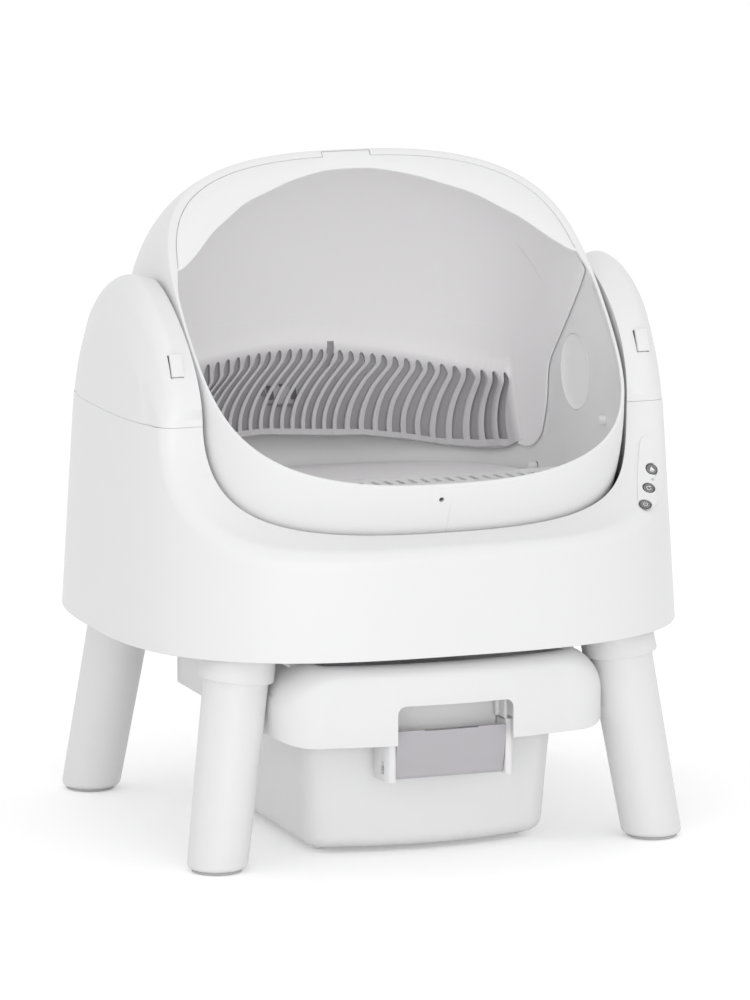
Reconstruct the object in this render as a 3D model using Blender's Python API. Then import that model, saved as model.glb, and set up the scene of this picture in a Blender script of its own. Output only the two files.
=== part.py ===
"""Self cleaning litter box on four splayed legs.

A round tub carries an open drum that turns backwards on two trunnions, driven by a spur gear
in the right ear.  Waste falls through a port in the tub's floor into a bin under a sliding
hood.  The frame is metres, +Z up, the front faces -Y, and the floor is z = 0.
"""
import math

import bmesh
import bpy
import numpy as np
from mathutils import Matrix, Vector

for old in list(bpy.data.objects):
    bpy.data.objects.remove(old, do_unlink=True)

# Clearances
GAP = 0.0003              # between pieces that rest on each other
FACET_SAG = 0.0018        # allowance for flat facets where two curved walls nest
OVERRUN = 0.004           # how far a cutter passes the face it cuts
WELD = 0.00001            # points closer than this are one point
BEND_STEP = 0.15          # extra path length that a radian of turning counts for

# Tub: its horizontal sections are superellipses that narrow upwards
TUB_HALF_WIDTH = 0.2793
TUB_HALF_DEPTH = 0.2548
TUB_TAPER_X = 0.0124      # each side, from the bottom edge to the seam
TUB_TAPER_Y = 0.0112
TUB_BOTTOM = 0.1992
TUB_POWER_SHARE = 2.915
SKIN = 0.003
EDGE_FILLET = 0.012

# Drum: a barrel about the X axis, set by the room that the tub leaves round it
DRUM_SIDE_ROOM = 0.0658
DRUM_END_ROOM = 0.0273
DRUM_HALF_WIDTH = TUB_HALF_WIDTH - DRUM_SIDE_ROOM
DRUM_RADIUS = TUB_HALF_DEPTH - DRUM_END_ROOM
DRUM_LOW = 0.1905         # the barrel's lowest point, in the pan's port
AXIS_Y = -0.008
AXIS_Z = DRUM_LOW + DRUM_RADIUS
BARREL_END_SHARE = 2.5
BARREL_ROUND_SHARE = 4.7
DRUM_WALL = 0.003
DRUM_CLEARANCE = 0.004    # drum to cradle
MOUTH_TILT = math.radians(44.17)
MOUTH_SHARE = 0.46857
MOUTH_OFFSET = MOUTH_SHARE * DRUM_RADIUS   # opening plane above the axis
RIM_WIDTH = 0.008         # flat lip that carries the visor
RIM_CHANGE_START = 0.03   # where the narrow lip starts to widen, along the opening
RIM_CHANGE_END = 0.075

# Heights below the drum's axis
SEAM_DROP = 0.010
FLANGE_DROP = 0.115
SHELF_DROP = 0.0965
FLOOR_DROP = 0.110
SEAM = AXIS_Z - SEAM_DROP           # height where the ear caps part from the tub
FLANGE_FOOT = AXIS_Z - FLANGE_DROP  # where the inner flange ends and the cradle begins

# Ears
EAR_HALF_DEPTH = 0.130
EAR_RISE = 0.133
EAR_INNER_RISE = 0.120
EAR_INNER_POWER_SHARE = 1.6
DOME_WIDTH = 0.028        # rounding of the ear's top, across
DOME_DROP = 0.070         # rounding of the ear's top, downwards

# Cut through the tub's front and back, as a side profile
CUT_SET_BACK = 0.0028     # from the tub's widest line to where the cut starts
BACK_CUT_START = TUB_HALF_DEPTH - CUT_SET_BACK
FRONT_CUT_START = -BACK_CUT_START
FRONT_CUT_REACH = BACK_CUT_START - EAR_HALF_DEPTH + AXIS_Y
BACK_CUT_REACH = BACK_CUT_START - EAR_HALF_DEPTH - AXIS_Y
FRONT_CUT_DEPTH = 0.1075
BACK_CUT_DEPTH = 0.068
CUT_POWER_SHARE = 1.95


def curve_root(value, power):
    return max(value, 0.0) ** (1.0 / power)


def tub_sizes(z, inset=0.0):
    rise = (z - TUB_BOTTOM) / (SEAM - TUB_BOTTOM)
    return (TUB_HALF_WIDTH - TUB_TAPER_X * rise - inset,
            TUB_HALF_DEPTH - TUB_TAPER_Y * rise - inset)


def tub_x(y, z, inset=0.0):
    """Half width of the tub at one depth and height."""
    half_width, half_depth = tub_sizes(z, inset)
    return half_width * curve_root(1 - (abs(y) / half_depth) ** TUB_POWER_SHARE, TUB_POWER_SHARE)


def on_tub(x, y, z, inset=0.0):
    """The point moved level, towards the tub's axis or away, onto its wall."""
    half_width, half_depth = tub_sizes(z, inset)
    reach = ((abs(x) / half_width) ** TUB_POWER_SHARE
             + (abs(y) / half_depth) ** TUB_POWER_SHARE) ** (1 / TUB_POWER_SHARE)
    return Vector((x / reach, y / reach, z))


def barrel_radius(x, grow=0.0):
    share = min(abs(x) / (DRUM_HALF_WIDTH + grow), 1.0)
    return (DRUM_RADIUS + grow) * curve_root(1 - share ** BARREL_END_SHARE, BARREL_ROUND_SHARE)


def barrel_reach(radius, grow=0.0):
    share = min(radius / (DRUM_RADIUS + grow), 1.0)
    return (DRUM_HALF_WIDTH + grow) * curve_root(1 - share ** BARREL_ROUND_SHARE, BARREL_END_SHARE)


def on_barrel(point, grow=0.0):
    """The point moved along its line from the drum's centre onto the barrel."""
    x, y, z = point[0], point[1] - AXIS_Y, point[2] - AXIS_Z
    end = abs(x) / (DRUM_HALF_WIDTH + grow)
    side = math.hypot(y, z) / (DRUM_RADIUS + grow)
    low, high = 0.0, 2.0 / max(end, side)
    for step in range(50):
        middle = (low + high) / 2
        if (middle * end) ** BARREL_END_SHARE + (middle * side) ** BARREL_ROUND_SHARE < 1:
            low = middle
        else:
            high = middle
    return Vector((x * low, AXIS_Y + y * low, AXIS_Z + z * low))


def resample(points, count, bend=0.0):
    """Points at equal steps along a polyline; bend adds steps where it turns."""
    path = np.array([tuple(p) for p in points], dtype=float)
    steps = np.diff(path, axis=0)
    sizes = np.linalg.norm(steps, axis=1)
    if bend > 0:
        units = steps / np.maximum(sizes, WELD)[:, None]
        turns = np.arccos(np.clip(np.sum(units[1:] * units[:-1], axis=1), -1, 1))
        sizes = sizes + bend * np.concatenate([turns, turns[-1:]])
    run = np.concatenate([[0.0], np.cumsum(sizes)])
    stops = np.linspace(0.0, run[-1], count + 1)
    return [Vector([np.interp(stop, run, path[:, axis]) for axis in range(path.shape[1])])
            for stop in stops]


def lerp(a, b, share):
    return a + (b - a) * share


def smooth(value, start, end):
    share = min(max((value - start) / (end - start), 0.0), 1.0)
    return share * share * (3 - 2 * share)


def material(name, colour, roughness, metallic=0.0):
    """A plain Principled material."""
    made = bpy.data.materials.new(name)
    made.use_nodes = True
    shader = made.node_tree.nodes["Principled BSDF"]
    shader.inputs["Base Color"].default_value = (*colour, 1.0)
    shader.inputs["Roughness"].default_value = roughness
    shader.inputs["Metallic"].default_value = metallic
    made.diffuse_color = (*colour, 1.0)
    return made


def pivot(name, place):
    """An empty on a joint's axis, the parent of the pieces that the joint moves."""
    made = bpy.data.objects.new(name, None)
    made.location = place
    bpy.context.scene.collection.objects.link(made)
    return made


def finish(name, mesh, look, parent=None, smooth_angle=35.0):
    """Close a bmesh into a named object with outward faces and shaded edges."""
    bmesh.ops.remove_doubles(mesh, verts=mesh.verts, dist=WELD)
    bmesh.ops.recalc_face_normals(mesh, faces=mesh.faces)
    if mesh.calc_volume(signed=True) < 0:
        bmesh.ops.reverse_faces(mesh, faces=mesh.faces)
    if parent is not None:
        bmesh.ops.translate(mesh, verts=mesh.verts, vec=-parent.location)
    data = bpy.data.meshes.new(name)
    mesh.to_mesh(data)
    mesh.free()
    data.shade_smooth()
    data.set_sharp_from_angle(angle=math.radians(smooth_angle))
    made = bpy.data.objects.new(name, data)
    data.materials.append(material(name, *look))
    bpy.context.scene.collection.objects.link(made)
    if parent is not None:
        made.parent = parent
    return made


def loft(rings, wrap=False):
    """Skin closed rings of equal length; wrap joins the last ring to the first."""
    mesh = bmesh.new()
    rows = [[mesh.verts.new(p) for p in ring] for ring in rings]
    pairs = list(zip(rows, rows[1:])) + ([(rows[-1], rows[0])] if wrap else [])
    for lower, upper in pairs:
        for k in range(len(lower)):
            j = (k + 1) % len(lower)
            mesh.faces.new((lower[k], lower[j], upper[j], upper[k]))
    if not wrap:
        mesh.faces.new(rows[0])
        mesh.faces.new(rows[-1])
    return mesh


def panel(front, back, solid=None):
    """A sheet between two equal grids of points; solid(i, j) tells which cells are filled."""
    mesh = bmesh.new()
    rows, columns = len(front) - 1, len(front[0]) - 1
    fills = [[solid is None or solid(i, j) for j in range(columns)] for i in range(rows)]
    made = {}

    def vertex(side, i, j):
        key = (side, i, j)
        if key not in made:
            made[key] = mesh.verts.new((front if side == 0 else back)[i][j])
        return made[key]

    def filled(i, j):
        return 0 <= i < rows and 0 <= j < columns and fills[i][j]

    for i in range(rows):
        for j in range(columns):
            if not fills[i][j]:
                continue
            corners = ((i, j), (i, j + 1), (i + 1, j + 1), (i + 1, j))
            mesh.faces.new([vertex(0, *c) for c in corners])
            mesh.faces.new([vertex(1, *c) for c in reversed(corners)])
            sides = (((i, j), (i, j + 1), (i - 1, j)), ((i, j + 1), (i + 1, j + 1), (i, j + 1)),
                     ((i + 1, j + 1), (i + 1, j), (i + 1, j)), ((i + 1, j), (i, j), (i, j - 1)))
            for start, end, beyond in sides:
                if not filled(*beyond):
                    mesh.faces.new((vertex(0, *end), vertex(0, *start),
                                    vertex(1, *start), vertex(1, *end)))
    return mesh


def slab(outline, holes, low, high, place=None):
    """A flat plate with holes, drawn in X and Y and lifted from low to high."""
    mesh = bmesh.new()
    for loop in [outline] + list(holes):
        ring = [mesh.verts.new((p[0], p[1], low)) for p in loop]
        for k in range(len(ring)):
            mesh.edges.new((ring[k], ring[(k + 1) % len(ring)]))
    bmesh.ops.triangle_fill(mesh, edges=mesh.edges[:], use_beauty=True, normal=(0, 0, 1))
    raised = bmesh.ops.extrude_face_region(mesh, geom=mesh.faces[:], use_keep_orig=True)
    moved = [item for item in raised["geom"] if isinstance(item, bmesh.types.BMVert)]
    bmesh.ops.translate(mesh, verts=moved, vec=(0, 0, high - low))
    if place is not None:
        bmesh.ops.transform(mesh, matrix=place, verts=mesh.verts)
    return mesh


def turned(profile, sides, place):
    """Turn (radius, height) points about Z; a radius of zero closes on the axis."""
    mesh = bmesh.new()
    rows = []
    for radius, height in profile:
        if radius <= 0:
            rows.append([mesh.verts.new((0, 0, height))])
        else:
            rows.append([mesh.verts.new((radius * math.cos(2 * math.pi * k / sides),
                                         radius * math.sin(2 * math.pi * k / sides), height))
                         for k in range(sides)])
    pairs = list(zip(rows, rows[1:]))
    if len(rows[0]) > 1 or len(rows[-1]) > 1:
        pairs.append((rows[-1], rows[0]))
    for lower, upper in pairs:
        for k in range(sides):
            corners = [lower[k % len(lower)], lower[(k + 1) % len(lower)],
                       upper[(k + 1) % len(upper)], upper[k % len(upper)]]
            kept = list(dict.fromkeys(corners))
            if len(kept) > 2:
                mesh.faces.new(kept)
    bmesh.ops.transform(mesh, matrix=place, verts=mesh.verts)
    return mesh


def block(low, high, bevel=0.0, segments=2):
    """A box between two corners, with its edges rounded."""
    mesh = bmesh.new()
    size = [high[k] - low[k] for k in range(3)]
    middle = [(high[k] + low[k]) / 2 for k in range(3)]
    bmesh.ops.create_cube(mesh, size=1.0,
                          matrix=Matrix.Translation(middle) @ Matrix.Diagonal((*size, 1.0)))
    if bevel > 0:
        bmesh.ops.bevel(mesh, geom=mesh.edges[:], offset=bevel, segments=segments, profile=0.5,
                        affect='EDGES')
    return mesh


def along(start, direction):
    """A frame at start whose Z runs along direction."""
    return Matrix.Translation(start) @ Vector((0, 0, 1)).rotation_difference(
        Vector(direction)).to_matrix().to_4x4()


def cutter(name, mesh):
    """An object that only cuts others."""
    bmesh.ops.recalc_face_normals(mesh, faces=mesh.faces)
    data = bpy.data.meshes.new(name)
    mesh.to_mesh(data)
    mesh.free()
    made = bpy.data.objects.new(name, data)
    made.hide_render = True
    made.display_type = 'WIRE'
    bpy.context.scene.collection.objects.link(made)
    return made


def cut(target, tool):
    """Take the tool's solid away from the target."""
    step = target.modifiers.new("cut_" + tool.name, 'BOOLEAN')
    step.operation = 'DIFFERENCE'
    step.solver = 'EXACT'
    step.object = tool


# Looks: colour, roughness, metallic
WHITE = ((0.90, 0.90, 0.905), 0.38)
WARM_WHITE = ((0.87, 0.87, 0.875), 0.42)
INNER_GREY = ((0.74, 0.73, 0.735), 0.5)
RIB_GREY = ((0.42, 0.42, 0.425), 0.5)
DARK_GREY = ((0.12, 0.12, 0.125), 0.55)
RUBBER = ((0.16, 0.16, 0.16), 0.8)
PADDLE_GREY = ((0.52, 0.51, 0.525), 0.45)
STEEL = ((0.6, 0.6, 0.6), 0.35, 1.0)
BOARD_GREEN = ((0.05, 0.22, 0.10), 0.5)
LENS = ((0.75, 0.85, 0.95), 0.2)

# Tub
SIDE_STEPS = 60           # fine steps along the side profile
FRONT_STATIONS = 13
DECK_STATIONS = 5
BACK_STATIONS = 9
FRONT_CORNER_Y = FRONT_CUT_START + FRONT_CUT_REACH
BACK_CORNER_Y = BACK_CUT_START - BACK_CUT_REACH
SEAM_TOP = SEAM - GAP / 2


def cut_profile(share, back=False):
    """The cut's side profile from the lip (0) to the seam corner (1), as depth and height."""
    angle = share * math.pi / 2
    along_depth = math.sin(angle) ** (2 / CUT_POWER_SHARE)
    down = math.cos(angle) ** (2 / CUT_POWER_SHARE)
    if back:
        return BACK_CUT_START - BACK_CUT_REACH * along_depth, SEAM_TOP - BACK_CUT_DEPTH * down
    return FRONT_CUT_START + FRONT_CUT_REACH * along_depth, SEAM_TOP - FRONT_CUT_DEPTH * down


def cut_inward(share, back=False):
    """The direction from the cut's face into the tub's material."""
    y0, z0 = cut_profile(max(share - 0.01, 0), back)
    y1, z1 = cut_profile(min(share + 0.01, 1), back)
    run, rise = y1 - y0, z1 - z0
    length = math.hypot(run, rise)
    sign = -1 if back else 1
    return Vector((0, sign * rise / length, -sign * run / length))


def edge_curve(find_x, back):
    """Shares along the cut where it meets a wall: from the middle plane to the seam corner."""
    found = []
    for step in range(SIDE_STEPS * 4 + 1):
        share = step / (SIDE_STEPS * 4)
        y, z = cut_profile(share, back)
        x = find_x(y, z)
        if x > 0:
            found.append((x, y, z, share))
    first = found[0]
    found.insert(0, (0.0, first[1], first[2], first[3]))
    return found


def paired(back, count, wall_inset, barrel_grow):
    """Outer and inner edge points of the cut's face, paired station by station."""
    outer = edge_curve(lambda y, z: tub_x(y, z, wall_inset), back)
    inner = edge_curve(lambda y, z: barrel_reach(math.hypot(y - AXIS_Y, z - AXIS_Z), barrel_grow)
                       if math.hypot(y - AXIS_Y, z - AXIS_Z) < DRUM_RADIUS + barrel_grow else 0.0,
                       back)
    return list(zip(resample(outer, count), resample(inner, count)))


def half_ring(find_point, count):
    """Points at equal steps round half a level section, from front to back."""
    fine = [find_point(math.pi * k / (SIDE_STEPS * 2)) for k in range(SIDE_STEPS * 2 + 1)]
    return resample(fine, count, BEND_STEP)


def tub_ring_point(angle, z, inset=0.0):
    return on_tub(math.sin(angle), -math.cos(angle), z, inset)


def barrel_ring_point(angle, z, grow):
    """Level section of the barrel, by direction from the drum's axis."""
    low, high = 0.0, DRUM_RADIUS + DRUM_HALF_WIDTH
    drop = z - AXIS_Z
    for step in range(50):
        middle = (low + high) / 2
        x, y = middle * math.sin(angle), -middle * math.cos(angle)
        end = abs(x) / (DRUM_HALF_WIDTH + grow)
        side = math.hypot(y, drop) / (DRUM_RADIUS + grow)
        inside = end < 1 and side < 1 and end ** BARREL_END_SHARE + side ** BARREL_ROUND_SHARE < 1
        if inside:
            low = middle
        else:
            high = middle
    return Vector((low * math.sin(angle), AXIS_Y - low * math.cos(angle), z))


def share_at(lengths, k):
    return lengths[k] / lengths[-1]


def running(points):
    run = [0.0]
    for a, b in zip(points, points[1:]):
        run.append(run[-1] + (Vector(b[:3]) - Vector(a[:3])).length)
    return run


def corner_arc(edge, first, second, count):
    """Points of the rounding between first and second, whose square corner is edge."""
    made = []
    for k in range(count + 1):
        angle = math.pi / 2 * k / count
        made.append(edge + (first - edge) * (1 - math.sin(angle))
                    + (second - edge) * (1 - math.cos(angle)))
    return made


def tub_stations(inset, grow, fillet, wall_rows, arc_rows, top_rows, flange_rows, lift):
    """Columns from the bottom edge up the wall, over the face and down the flange."""
    columns, deck = [], []
    front = paired(False, FRONT_STATIONS, inset, grow)
    back = paired(True, BACK_STATIONS, inset, grow)
    for outer, inner in front:
        columns.append((outer, inner, False, fillet))
    deck_start, deck_end = FRONT_CORNER_Y + EDGE_FILLET * 1.5, BACK_CORNER_Y - EDGE_FILLET * 1.5
    for k in range(DECK_STATIONS + 1):
        y = lerp(deck_start, deck_end, k / DECK_STATIONS)
        outer = (tub_x(y, SEAM_TOP, inset), y, SEAM_TOP)
        inner = (barrel_reach(math.hypot(y - AXIS_Y, SEAM_TOP - AXIS_Z), grow), y, SEAM_TOP)
        columns.append((outer, inner, None, fillet))
    for outer, inner in reversed(back):
        columns.append((outer, inner, True, fillet))
    outer_run = running([c[0] for c in columns])
    inner_run = running([c[1] for c in columns])
    bottoms = half_ring(lambda a: tub_ring_point(a, TUB_BOTTOM, inset), SIDE_STEPS)
    feet = half_ring(lambda a: barrel_ring_point(a, FLANGE_FOOT, grow), SIDE_STEPS)

    def pick(ring, share):
        place = share * (len(ring) - 1)
        k = min(int(place), len(ring) - 2)
        return ring[k].lerp(ring[k + 1], place - k)

    loops = []
    for k, (outer, inner, side, radius) in enumerate(columns):
        edge, lip = Vector(outer[:3]), Vector(inner[:3])
        if side is None:
            level = Vector((0, 0, -lift))
            first = edge + level + Vector((-radius, 0, 0))
            arc = [first.lerp(edge + level, j / arc_rows) for j in range(arc_rows + 1)]
            top = [lip + level + (first - lip - level) * (j / top_rows) for j in range(top_rows)]
            lip = lip + level
        else:
            into = cut_inward(outer[3], side)
            shift = into * lift
            edge = on_tub(*(edge + shift), inset)
            second = on_tub(*(edge + into * radius), inset)
            reach = min(radius, (edge - lip).length * 0.45)
            share = reach / max((edge - lip).length, radius)
            start = Vector((lerp(outer[0], inner[0], share),
                            *cut_profile(lerp(outer[3], inner[3], share), side)))
            start = start + cut_inward(lerp(outer[3], inner[3], share), side) * lift
            arc = corner_arc(edge, start, second, arc_rows)
            top = []
            for j in range(top_rows):
                w = lerp(1.0, share, j / top_rows)
                depth, height = cut_profile(lerp(outer[3], inner[3], w), side)
                top.append(Vector((lerp(outer[0], inner[0], w), depth, height))
                           + cut_inward(lerp(outer[3], inner[3], w), side) * lift)
            lip = on_barrel(top[0], grow)
            top[0] = lip
        bottom = pick(bottoms, share_at(outer_run, k))
        foot = pick(feet, share_at(inner_run, k))
        wall = []
        for j in range(wall_rows):
            p = bottom.lerp(arc[-1], j / wall_rows)
            wall.append(on_tub(*p, inset))
        flange = [on_barrel(lip.lerp(foot, j / flange_rows), grow)
                  for j in range(1, flange_rows)] + [foot]
        loops.append(wall + list(reversed(arc)) + list(reversed(top)) + flange)
    return loops


def mirrored(points):
    return [Vector((-p[0], p[1], p[2])) for p in points]


def full_turn(half):
    """Stations of the right half followed by the left half's, once round."""
    return half + [mirrored(loop) for loop in reversed(half[1:-1])]


outer_half = tub_stations(0.0, DRUM_CLEARANCE, EDGE_FILLET, 2, 3, 2, 2, 0.0)
inner_half = tub_stations(SKIN, DRUM_CLEARANCE + SKIN, EDGE_FILLET - SKIN, 1, 2, 1, 1, SKIN)
base_loops = []
for face, back_face in zip(full_turn(outer_half), full_turn(inner_half)):
    base_loops.append(face + list(reversed(back_face)))
for loop in base_loops:
    if abs(loop[0].x) < WELD:
        for point in loop:
            point.x = 0.0
base_shell = finish("base_shell", loft(base_loops, wrap=True), WHITE)

# Ear caps
EAR_STATIONS = 14
EAR_CORNER = 0.012        # rounding of the ear's front and back edges at the seam
SEAM_FOOT = SEAM + GAP / 2


def ear_grid(sign, inset, arc_rows, wall_rows, inner_rows):
    """Rows from front to back; each row climbs the outside and goes down the inside."""
    grow = DRUM_CLEARANCE + inset
    depth, rise = EAR_HALF_DEPTH - inset, EAR_RISE - inset
    inner_rise = EAR_INNER_RISE - inset
    grid = []
    for k in range(EAR_STATIONS + 1):
        turn = math.pi * k / EAR_STATIONS
        across, up = math.cos(turn), math.sin(turn)
        crest = Vector((0, AXIS_Y - depth * across, SEAM_FOOT + rise * up))
        crest.x = tub_x(crest.y, crest.z, inset)
        bend = 2 / EAR_INNER_POWER_SHARE
        blend = lerp(1.0, bend, up)
        lip = Vector((0, AXIS_Y - depth * math.copysign(abs(across) ** blend, across),
                      SEAM_FOOT + inner_rise * up ** blend))
        lip.x = barrel_reach(math.hypot(lip.y - AXIS_Y, lip.z - AXIS_Z), grow)
        width = lerp(EAR_CORNER, DOME_WIDTH, up) - inset
        drop = lerp(EAR_CORNER, DOME_DROP, up) - inset
        centre = Vector((crest.x, AXIS_Y, SEAM_FOOT))
        below = crest + (centre - crest).normalized() * drop
        second = on_tub(*below, inset)
        foot_y = AXIS_Y - (depth - EAR_CORNER + inset) * across
        foot = Vector((tub_x(foot_y, SEAM_FOOT, inset), foot_y, SEAM_FOOT))
        start = crest.lerp(lip, width / (crest - lip).length)
        arc = corner_arc(crest, start, second, arc_rows)
        wall = [on_tub(*foot.lerp(second, j / wall_rows), inset) for j in range(wall_rows)]
        inner_foot = Vector((0, AXIS_Y - depth * across, SEAM_FOOT))
        inner_foot.x = barrel_reach(math.hypot(inner_foot.y - AXIS_Y, SEAM_FOOT - AXIS_Z), grow)
        inside = [on_barrel(lip.lerp(inner_foot, j / inner_rows), grow)
                  for j in range(inner_rows)] + [inner_foot]
        row = wall + list(reversed(arc)) + inside
        grid.append([Vector((sign * p.x, p.y, p.z)) for p in row])
    return grid


ear_caps = {}
for label, sign in (("left", -1), ("right", 1)):
    ear_caps[label] = finish("ear_cap_" + label, panel(ear_grid(sign, 0.0, 4, 2, 2),
                                                       ear_grid(sign, SKIN, 4, 2, 2)), WHITE)

# Cradle and floor pan
RING_POINTS = 40
PAN_TOP = 0.204
PAN_THICKNESS = 0.003
PAN_UNDER = PAN_TOP - PAN_THICKNESS
PAN_FIT = 0.0050
CRADLE_LEVELS = 4
PORT_HEIGHT = PAN_TOP + GAP


def level_ring(find_point, count):
    """A closed level ring with its points at equal steps."""
    half = half_ring(find_point, count // 2)
    return half + [Vector((-p.x, p.y, p.z)) for p in reversed(half[1:-1])]


def cradle_ring(height, grow):
    return level_ring(lambda a: barrel_ring_point(a, height, grow), RING_POINTS)


cradle_rings = []
for k in range(CRADLE_LEVELS + 1):
    height = lerp(FLANGE_FOOT - GAP, PORT_HEIGHT, smooth(k / CRADLE_LEVELS, 0, 1) * 0.5
                  + 0.5 * k / CRADLE_LEVELS)
    cradle_rings.append(cradle_ring(height, DRUM_CLEARANCE))
cradle_outer = [[on_barrel(p, DRUM_CLEARANCE + SKIN) for p in ring] for ring in cradle_rings]
for ring, level in ((cradle_outer[0], FLANGE_FOOT - GAP), (cradle_outer[-1], PORT_HEIGHT)):
    for point in ring:
        point.z = level
inner_cradle = finish("inner_cradle",
                      loft(cradle_rings + list(reversed(cradle_outer)), wrap=True), WHITE)

port_outline = cradle_ring(PORT_HEIGHT, DRUM_CLEARANCE)
pan_outline = level_ring(lambda a: tub_ring_point(a, PAN_UNDER, SKIN + PAN_FIT), RING_POINTS)
base_pan = finish("base_pan", slab(pan_outline, [port_outline], PAN_UNDER, PAN_TOP), WHITE)

# Legs
LEG_SIDE_ROOM = 0.0613    # from the tub's widest line to the foot's middle
LEG_END_ROOM = 0.0622
LEG_FOOT_X = TUB_HALF_WIDTH - LEG_SIDE_ROOM
LEG_FOOT_Y = TUB_HALF_DEPTH - LEG_END_ROOM
LEG_LEAN_X = 0.030        # how far the leg's top stands inward of its foot
LEG_LEAN_Y = 0.023
LEG_FOOT_RADIUS = 0.0285
LEG_TOP_RADIUS = 0.031
LEG_EDGE = 0.004
PAD_RADIUS = 0.0235
PAD_HEIGHT = 0.0025
SOCKET_RADIUS = 0.0352
SOCKET_DEPTH = 0.025
SOCKET_TILT = 0.004       # how much lower the socket's inner edge sits
LEG_SIDES = 16


def leg_ring(side_x, side_y, height, radius, tilt=0.0):
    """A level circle about the leaning leg's line; tilt dips the edge towards the middle."""
    share = height / PAN_UNDER
    middle_x = side_x * (LEG_FOOT_X - LEG_LEAN_X * share)
    middle_y = side_y * (LEG_FOOT_Y - LEG_LEAN_Y * share)
    ring = []
    for k in range(LEG_SIDES):
        turn = 2 * math.pi * k / LEG_SIDES
        dip = tilt * side_x * math.cos(turn)
        ring.append(Vector((middle_x + radius * math.cos(turn),
                            middle_y + radius * math.sin(turn), height + dip)))
    return ring


def leg_radius(height):
    return lerp(LEG_FOOT_RADIUS, LEG_TOP_RADIUS, height / PAN_UNDER)


LEG_BASE = PAD_HEIGHT + GAP
LEG_TOP = PAN_UNDER - GAP
for side_x, side_y, label in ((-1, -1, "front_left"), (1, -1, "front_right"),
                              (-1, 1, "back_left"), (1, 1, "back_right")):
    rings = [leg_ring(side_x, side_y, LEG_BASE, leg_radius(LEG_BASE) - LEG_EDGE),
             leg_ring(side_x, side_y, LEG_BASE + LEG_EDGE * 0.3, leg_radius(0) - LEG_EDGE * 0.3),
             leg_ring(side_x, side_y, LEG_BASE + LEG_EDGE, leg_radius(LEG_EDGE)),
             leg_ring(side_x, side_y, LEG_TOP, leg_radius(LEG_TOP))]
    finish("leg_" + label, loft(rings), WARM_WHITE)
    pad = [leg_ring(side_x, side_y, 0.0, PAD_RADIUS), leg_ring(side_x, side_y, PAD_HEIGHT,
                                                               PAD_RADIUS)]
    finish("foot_pad_" + label, loft(pad), RUBBER)
    low = LEG_TOP - SOCKET_DEPTH
    sleeve = [leg_ring(side_x, side_y, low, SOCKET_RADIUS, SOCKET_TILT),
              leg_ring(side_x, side_y, LEG_TOP, SOCKET_RADIUS),
              leg_ring(side_x, side_y, LEG_TOP, leg_radius(LEG_TOP) + GAP),
              leg_ring(side_x, side_y, low, leg_radius(low) + GAP, SOCKET_TILT)]
    finish("leg_socket_" + label, loft(sleeve, wrap=True), WARM_WHITE)

# Drum
drum = pivot("drum_axis", Vector((0, AXIS_Y, AXIS_Z)))
ALONG_MOUTH = Vector((0, math.cos(MOUTH_TILT), math.sin(MOUTH_TILT)))
OUT_OF_MOUTH = Vector((0, -math.sin(MOUTH_TILT), math.cos(MOUTH_TILT)))
DRUM_CENTRE = Vector((0, AXIS_Y, AXIS_Z))
DRUM_POINTS = 36
LINER_LOW_SHARE = -0.637   # the liner ends on one of the drum's own levels
DRUM_LEVEL_SHARES = (0.72, 0.36, 0.0, -0.24, -0.45, LINER_LOW_SHARE, -0.80, -0.93)
POLE_SHARE = 0.992


def in_mouth(x, reach, level):
    """A point from its place along X, along the mouth and out of the mouth."""
    return DRUM_CENTRE + Vector((x, 0, 0)) + ALONG_MOUTH * reach + OUT_OF_MOUTH * level


def section_reach(x, level, grow=0.0):
    return math.sqrt(max(barrel_radius(x, grow) ** 2 - level ** 2, 0.0))


def section_width(level, grow=0.0):
    return barrel_reach(abs(level), grow)


def section_ring(level, grow, count, rim=False):
    """The barrel's section parallel to the mouth, as a closed ring from its highest point."""
    width = section_width(level, grow)
    quarter = []
    for k in range(SIDE_STEPS + 1):
        x = width * math.sin(math.pi / 2 * k / SIDE_STEPS)
        quarter.append((x, section_reach(x, level, grow) if k < SIDE_STEPS else 0.0))
    half = quarter + [(x, -v) for x, v in reversed(quarter[:-1])]
    half = resample(half, count // 2, BEND_STEP)
    outline = half + [Vector((-p.x, p.y)) for p in reversed(half[1:-1])]
    if rim:
        outline = rim_edge(outline, 0.0)
    return [in_mouth(p.x, p.y, level) for p in outline]


def rim_edge(outline, extra):
    """Inside edge of the drum's lip, which is wider round the mouth's upper half."""
    return [inward(outline, k, extra + lerp(DRUM_WALL, RIM_WIDTH, smooth(
        outline[k].y, RIM_CHANGE_START, RIM_CHANGE_END))) for k in range(len(outline))]


def inward(outline, k, distance):
    """One point of a closed outline moved towards its inside."""
    before, after = outline[k - 1], outline[(k + 1) % len(outline)]
    run = (after - before).normalized()
    side = Vector((-run.y, run.x))
    if side.dot(outline[k]) > 0:
        side = -side
    return outline[k] + side * distance


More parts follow.
